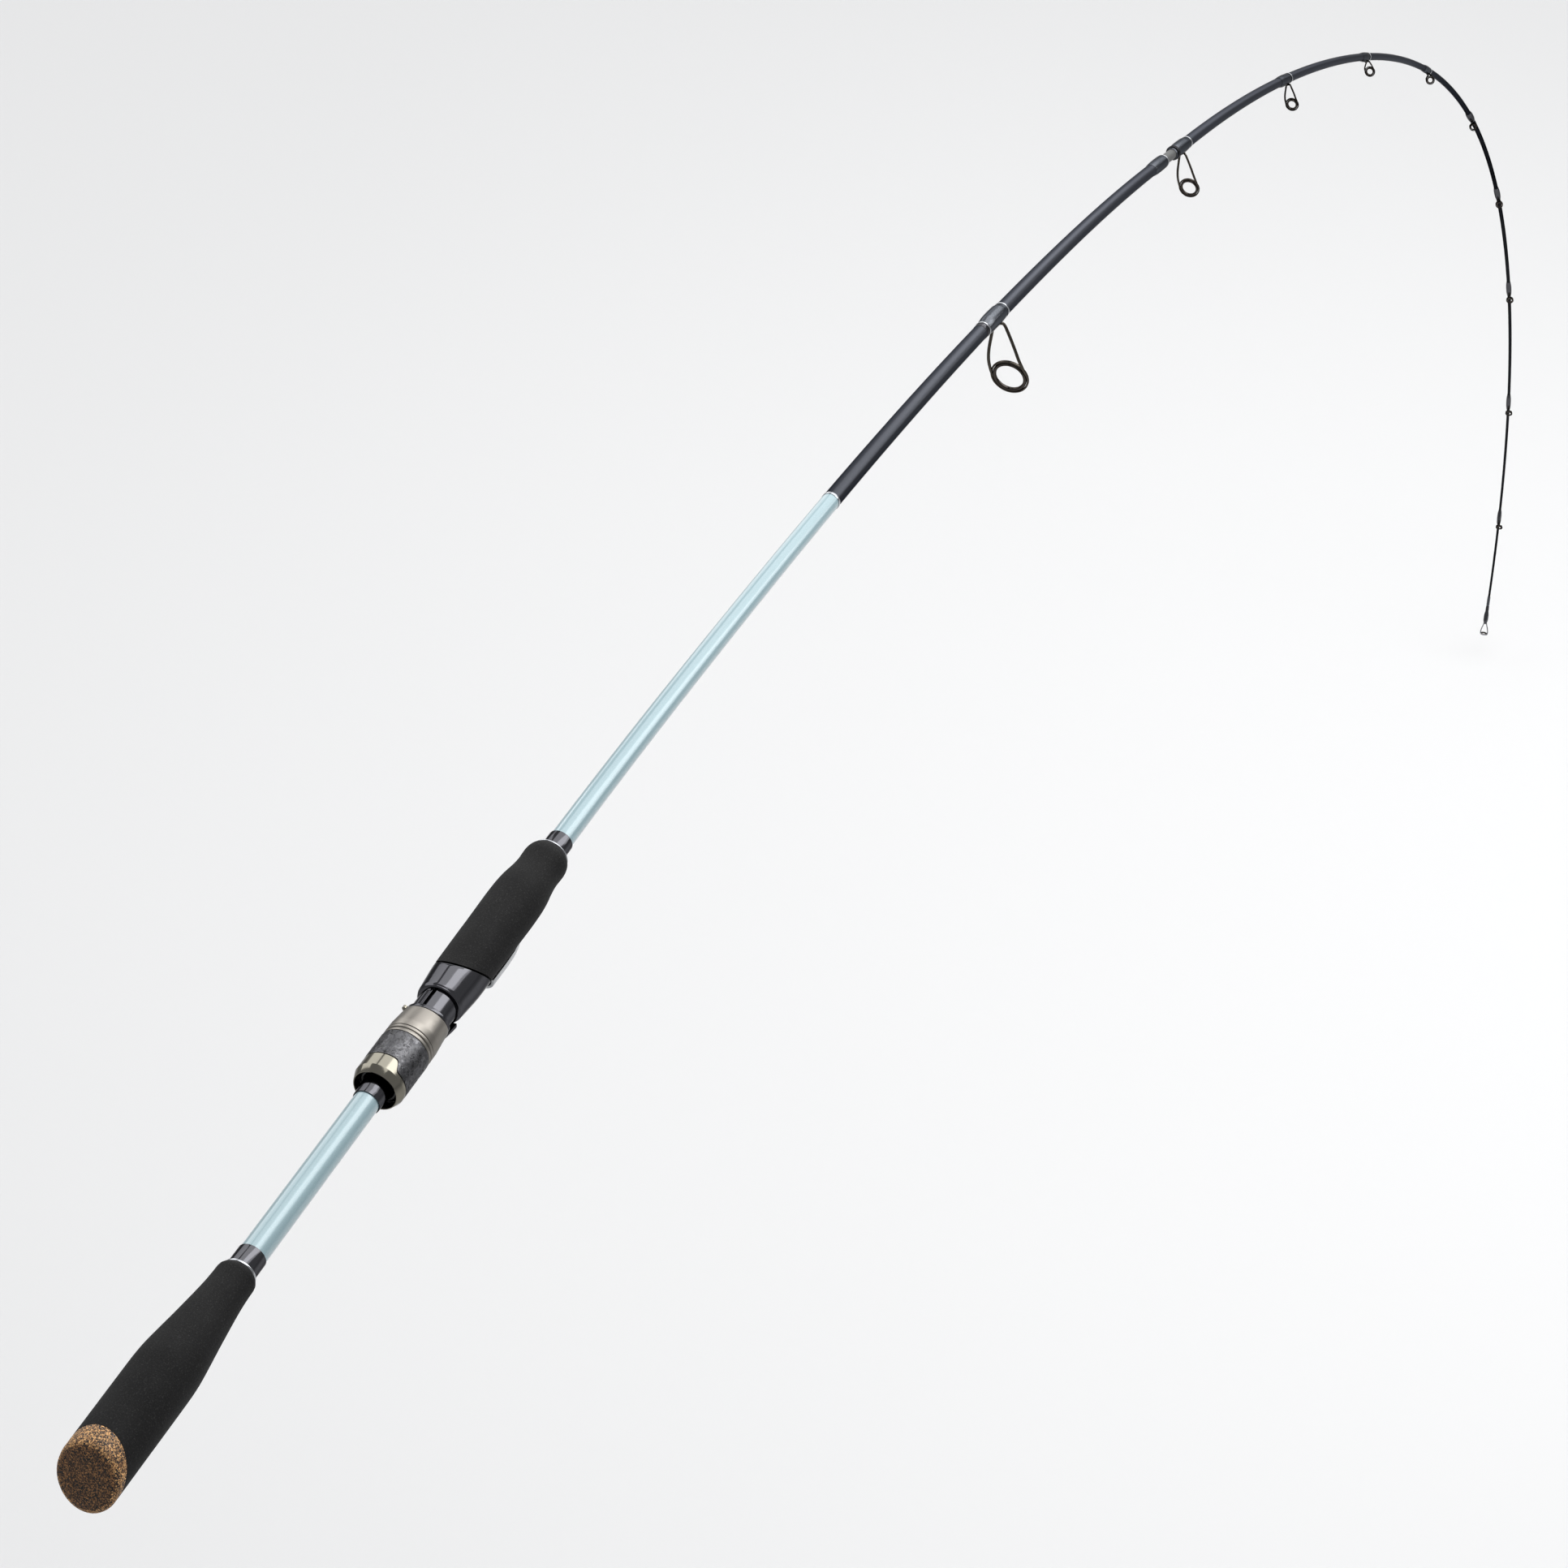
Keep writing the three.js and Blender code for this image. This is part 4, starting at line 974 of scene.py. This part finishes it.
def guide(index, station, height, diameter, wire, wrap, legs):
    """A frame of a hoop, two legs and a foot, the ceramic ring in the hoop, and the wrap over the foot."""
    body = "root" if index == 1 else "tip_section"
    name = f"guide_{index}"
    segments = 96 if index < 4 else 56
    outer = diameter / 2
    rim = outer - wire * 0.75
    bare = blank_radius(wrap[0])
    top = bare + 0.2
    half_height = 0.2 if index > 1 else 0.24
    shape = Shape()
    hoop(shape, station, height, squared_section(rim, outer, wire * 0.55), segments)
    guide_legs(shape, index, station, height, outer - wire * 0.45, wire, top, legs)
    guide_foot(shape, station, wire, top, half_height, wrap[0] + 3, legs)
    metal = "guide_metal" if index < 3 else "guide_dark"
    shape.object(name + "_frame_metal", body, [name + "_frame"], "guide_metal", metal)

    insert = Shape()
    half = wire * CERAMIC_SHARE / 2
    centre = rim - 0.06 * wire - 0.02 - half
    hoop(insert, station, height, oval_section(centre, half, wire * 0.8), segments)
    insert.object(name + "_ring_ceramic", body, [name + "_ring"], "ceramic", "ceramic")
    guide_wrap(index, station, body, wrap, top - bare + half_height * 2)


def guide_trims():
    """Bright rings at the ends of wraps; the rear one has a band of dark thread behind it."""
    table = [
        ("guide_1_rear_trim", 917.0, "root", True), ("guide_1_front_trim", 942.3, "root", False),
        ("guide_2_front_trim", 1218.6, "tip_section", False),
    ]
    for node, start, body, banded in table:
        r = blank_radius(start)
        ring = Shape()
        ring.lathe(tube_profile(start, start + 1.1, r + 0.04, r + 0.3, 0.2), 56)
        if banded:
            ring.lathe(tube_profile(start - 3.4, start - 0.2, r + 0.02, r + 0.14, 0.1), 56, mat=1)
        ring.object(node + "_ring", body, [node], "steel", "steel gloss_black")


def tip_top():
    station, drop, outer, wire = 2297.6, 1.2, 2.9, 0.8
    rim = outer - wire * 0.8
    shape = Shape()
    hoop(shape, station, drop, squared_section(rim, outer, wire * 0.5), 56)
    shape.lathe(filleted([
        (2277, 0.95), (2277, 1.15, 0.2), (2281.5, 1.25, 1.0), (2283.5, 1.7, 1.2), (2287.8, 1.7, 1.0),
        (2290.6, 0.95, 0.4), (2290.6, 0.0), (2288.3, 0.0), (2288.3, 0.95),
    ]), 32, mat=1)
    for hand in (1, -1):
        path = [
            (2288.4 - station, hand * 0.55, -0.3), (2291.2 - station, hand * 1.25, -0.5),
            (2293.6 - station, hand * 2.05, -0.8), (2296.2 - station, hand * (outer - 0.35), -drop),
            (0.1, hand * (outer - 0.4), -drop),
        ]
        shape.tube(placed(station, resampled(path)), 0.42)
    shape.object("tip_top_metal", "tip_section", ["tip_top_frame"], "guide_metal", "steel gloss_black")

    insert = Shape()
    hoop(insert, station, drop, oval_section(rim - 0.35, 0.3, 0.6, 18), 56)
    insert.object("tip_top_ceramic", "tip_section", ["tip_top_ring"], "ceramic", "ceramic")

    r = float(tip_radius(2270))
    rows = smooth([(2270, r + 0.15), (2271.2, r + 0.25), (2274, r + 0.3), (2276.2, r + 0.28), (2276.7, r + 0.2)])
    rows += [(2276.7, r + 0.04), (2270, r + 0.04)]
    turned_piece("tip_top_wrap_varnish", rows, "wrap", "epoxy", "tip_section", "tip_top_wrap", segments=40)


butt_cap()
rear_grip()
reel_seat()
fixed_hood()
moving_hood()
hood_collar()
nut()
arbors()
fore_grip()
trims()
blanks()
for number, row in enumerate(GUIDES, 1):
    guide(number, *row)
guide_trims()
tip_top()

# ---------- Camera, floor and light ----------
SENSOR = 36.0
# The focal length as a share of the width of the frame.
FOCAL_SHARE = 6239.876 / 1932
CAMERA_RIGHT = (0.409209347, -0.908514902, -0.084548115)
CAMERA_UP = (0.584091098, 0.189637054, 0.789224542)
CAMERA_FORWARD = (0.700988801, 0.372341859, -0.608256722)
CAMERA_PLACE = (-1.1286390607 - BED_STATION * MM, -0.9398490221, 1.4051327533 + BED_DROP * MM)
FLOOR_GAP, FLOOR_REACH = 0.02, 14.0


def camera():
    data = bpy.data.cameras.new("camera")
    data.sensor_width = SENSOR
    data.lens = FOCAL_SHARE * SENSOR
    data.clip_end = 60.0
    obj = bpy.data.objects.new("camera", data)
    axes = (Vector(CAMERA_RIGHT), Vector(CAMERA_UP), -Vector(CAMERA_FORWARD))
    place = Matrix(axes).transposed().to_4x4()
    place.translation = Vector(CAMERA_PLACE)
    obj.matrix_world = place
    bpy.context.scene.collection.objects.link(obj)
    bpy.context.scene.camera = obj


def floor():
    level = CAD_BOX[0][2] - FLOOR_GAP
    corners = [(x * FLOOR_REACH, y * FLOOR_REACH, level) for x, y in ((-1, -1), (1, -1), (1, 1), (-1, 1))]
    mesh = bpy.data.meshes.new("floor")
    mesh.from_pydata(corners, [], [(0, 1, 2, 3)])
    material = new_material("floor_paper", grey(0.87), 0.9)
    t = material.node_tree
    link(t, ramp(t, noise(t, coords(t), 0.6, 1.0), [(0.3, grey(0.72)), (0.7, grey(0.74))]), "Base Color")
    mesh.materials.append(material)
    obj = bpy.data.objects.new("floor", mesh)
    bpy.context.scene.collection.objects.link(obj)


def softbox(name, position, target, size, radiance):
    data = bpy.data.lights.new(name, "AREA")
    data.shape = "RECTANGLE"
    data.size, data.size_y = size
    data.energy = radiance * math.pi * size[0] * size[1]
    obj = bpy.data.objects.new(name, data)
    obj.location = position
    direction = Vector(target) - Vector(position)
    obj.rotation_euler = direction.to_track_quat("-Z", "Y").to_euler()
    bpy.context.scene.collection.objects.link(obj)


def light():
    world = bpy.data.worlds.new("studio")
    world.use_nodes = True
    background = world.node_tree.nodes["Background"]
    background.inputs["Color"].default_value = (0.97, 0.98, 1.0, 1.0)
    background.inputs["Strength"].default_value = 0.42
    bpy.context.scene.world = world
    softbox("overhead", (1.15, -0.36, 1.33), (0.2, 0.0, 0.0), (2.0, 2.6), 1.9)
    softbox("overhead_core", (1.12, -0.79, 1.10), (0.2, 0.0, 0.0), (0.6, 2.6), 2.8)
    softbox("far_card", (4.5, 1.0, 0.8), (0.9, 0.0, -0.1), (5.0, 2.5), 1.4)
    softbox("far_fill", (1.6, 2.6, 1.7), (0.6, 0.0, -0.2), (2.4, 2.4), 1.9)


camera()
floor()
light()
bpy.context.scene.view_settings.view_transform = "Standard"
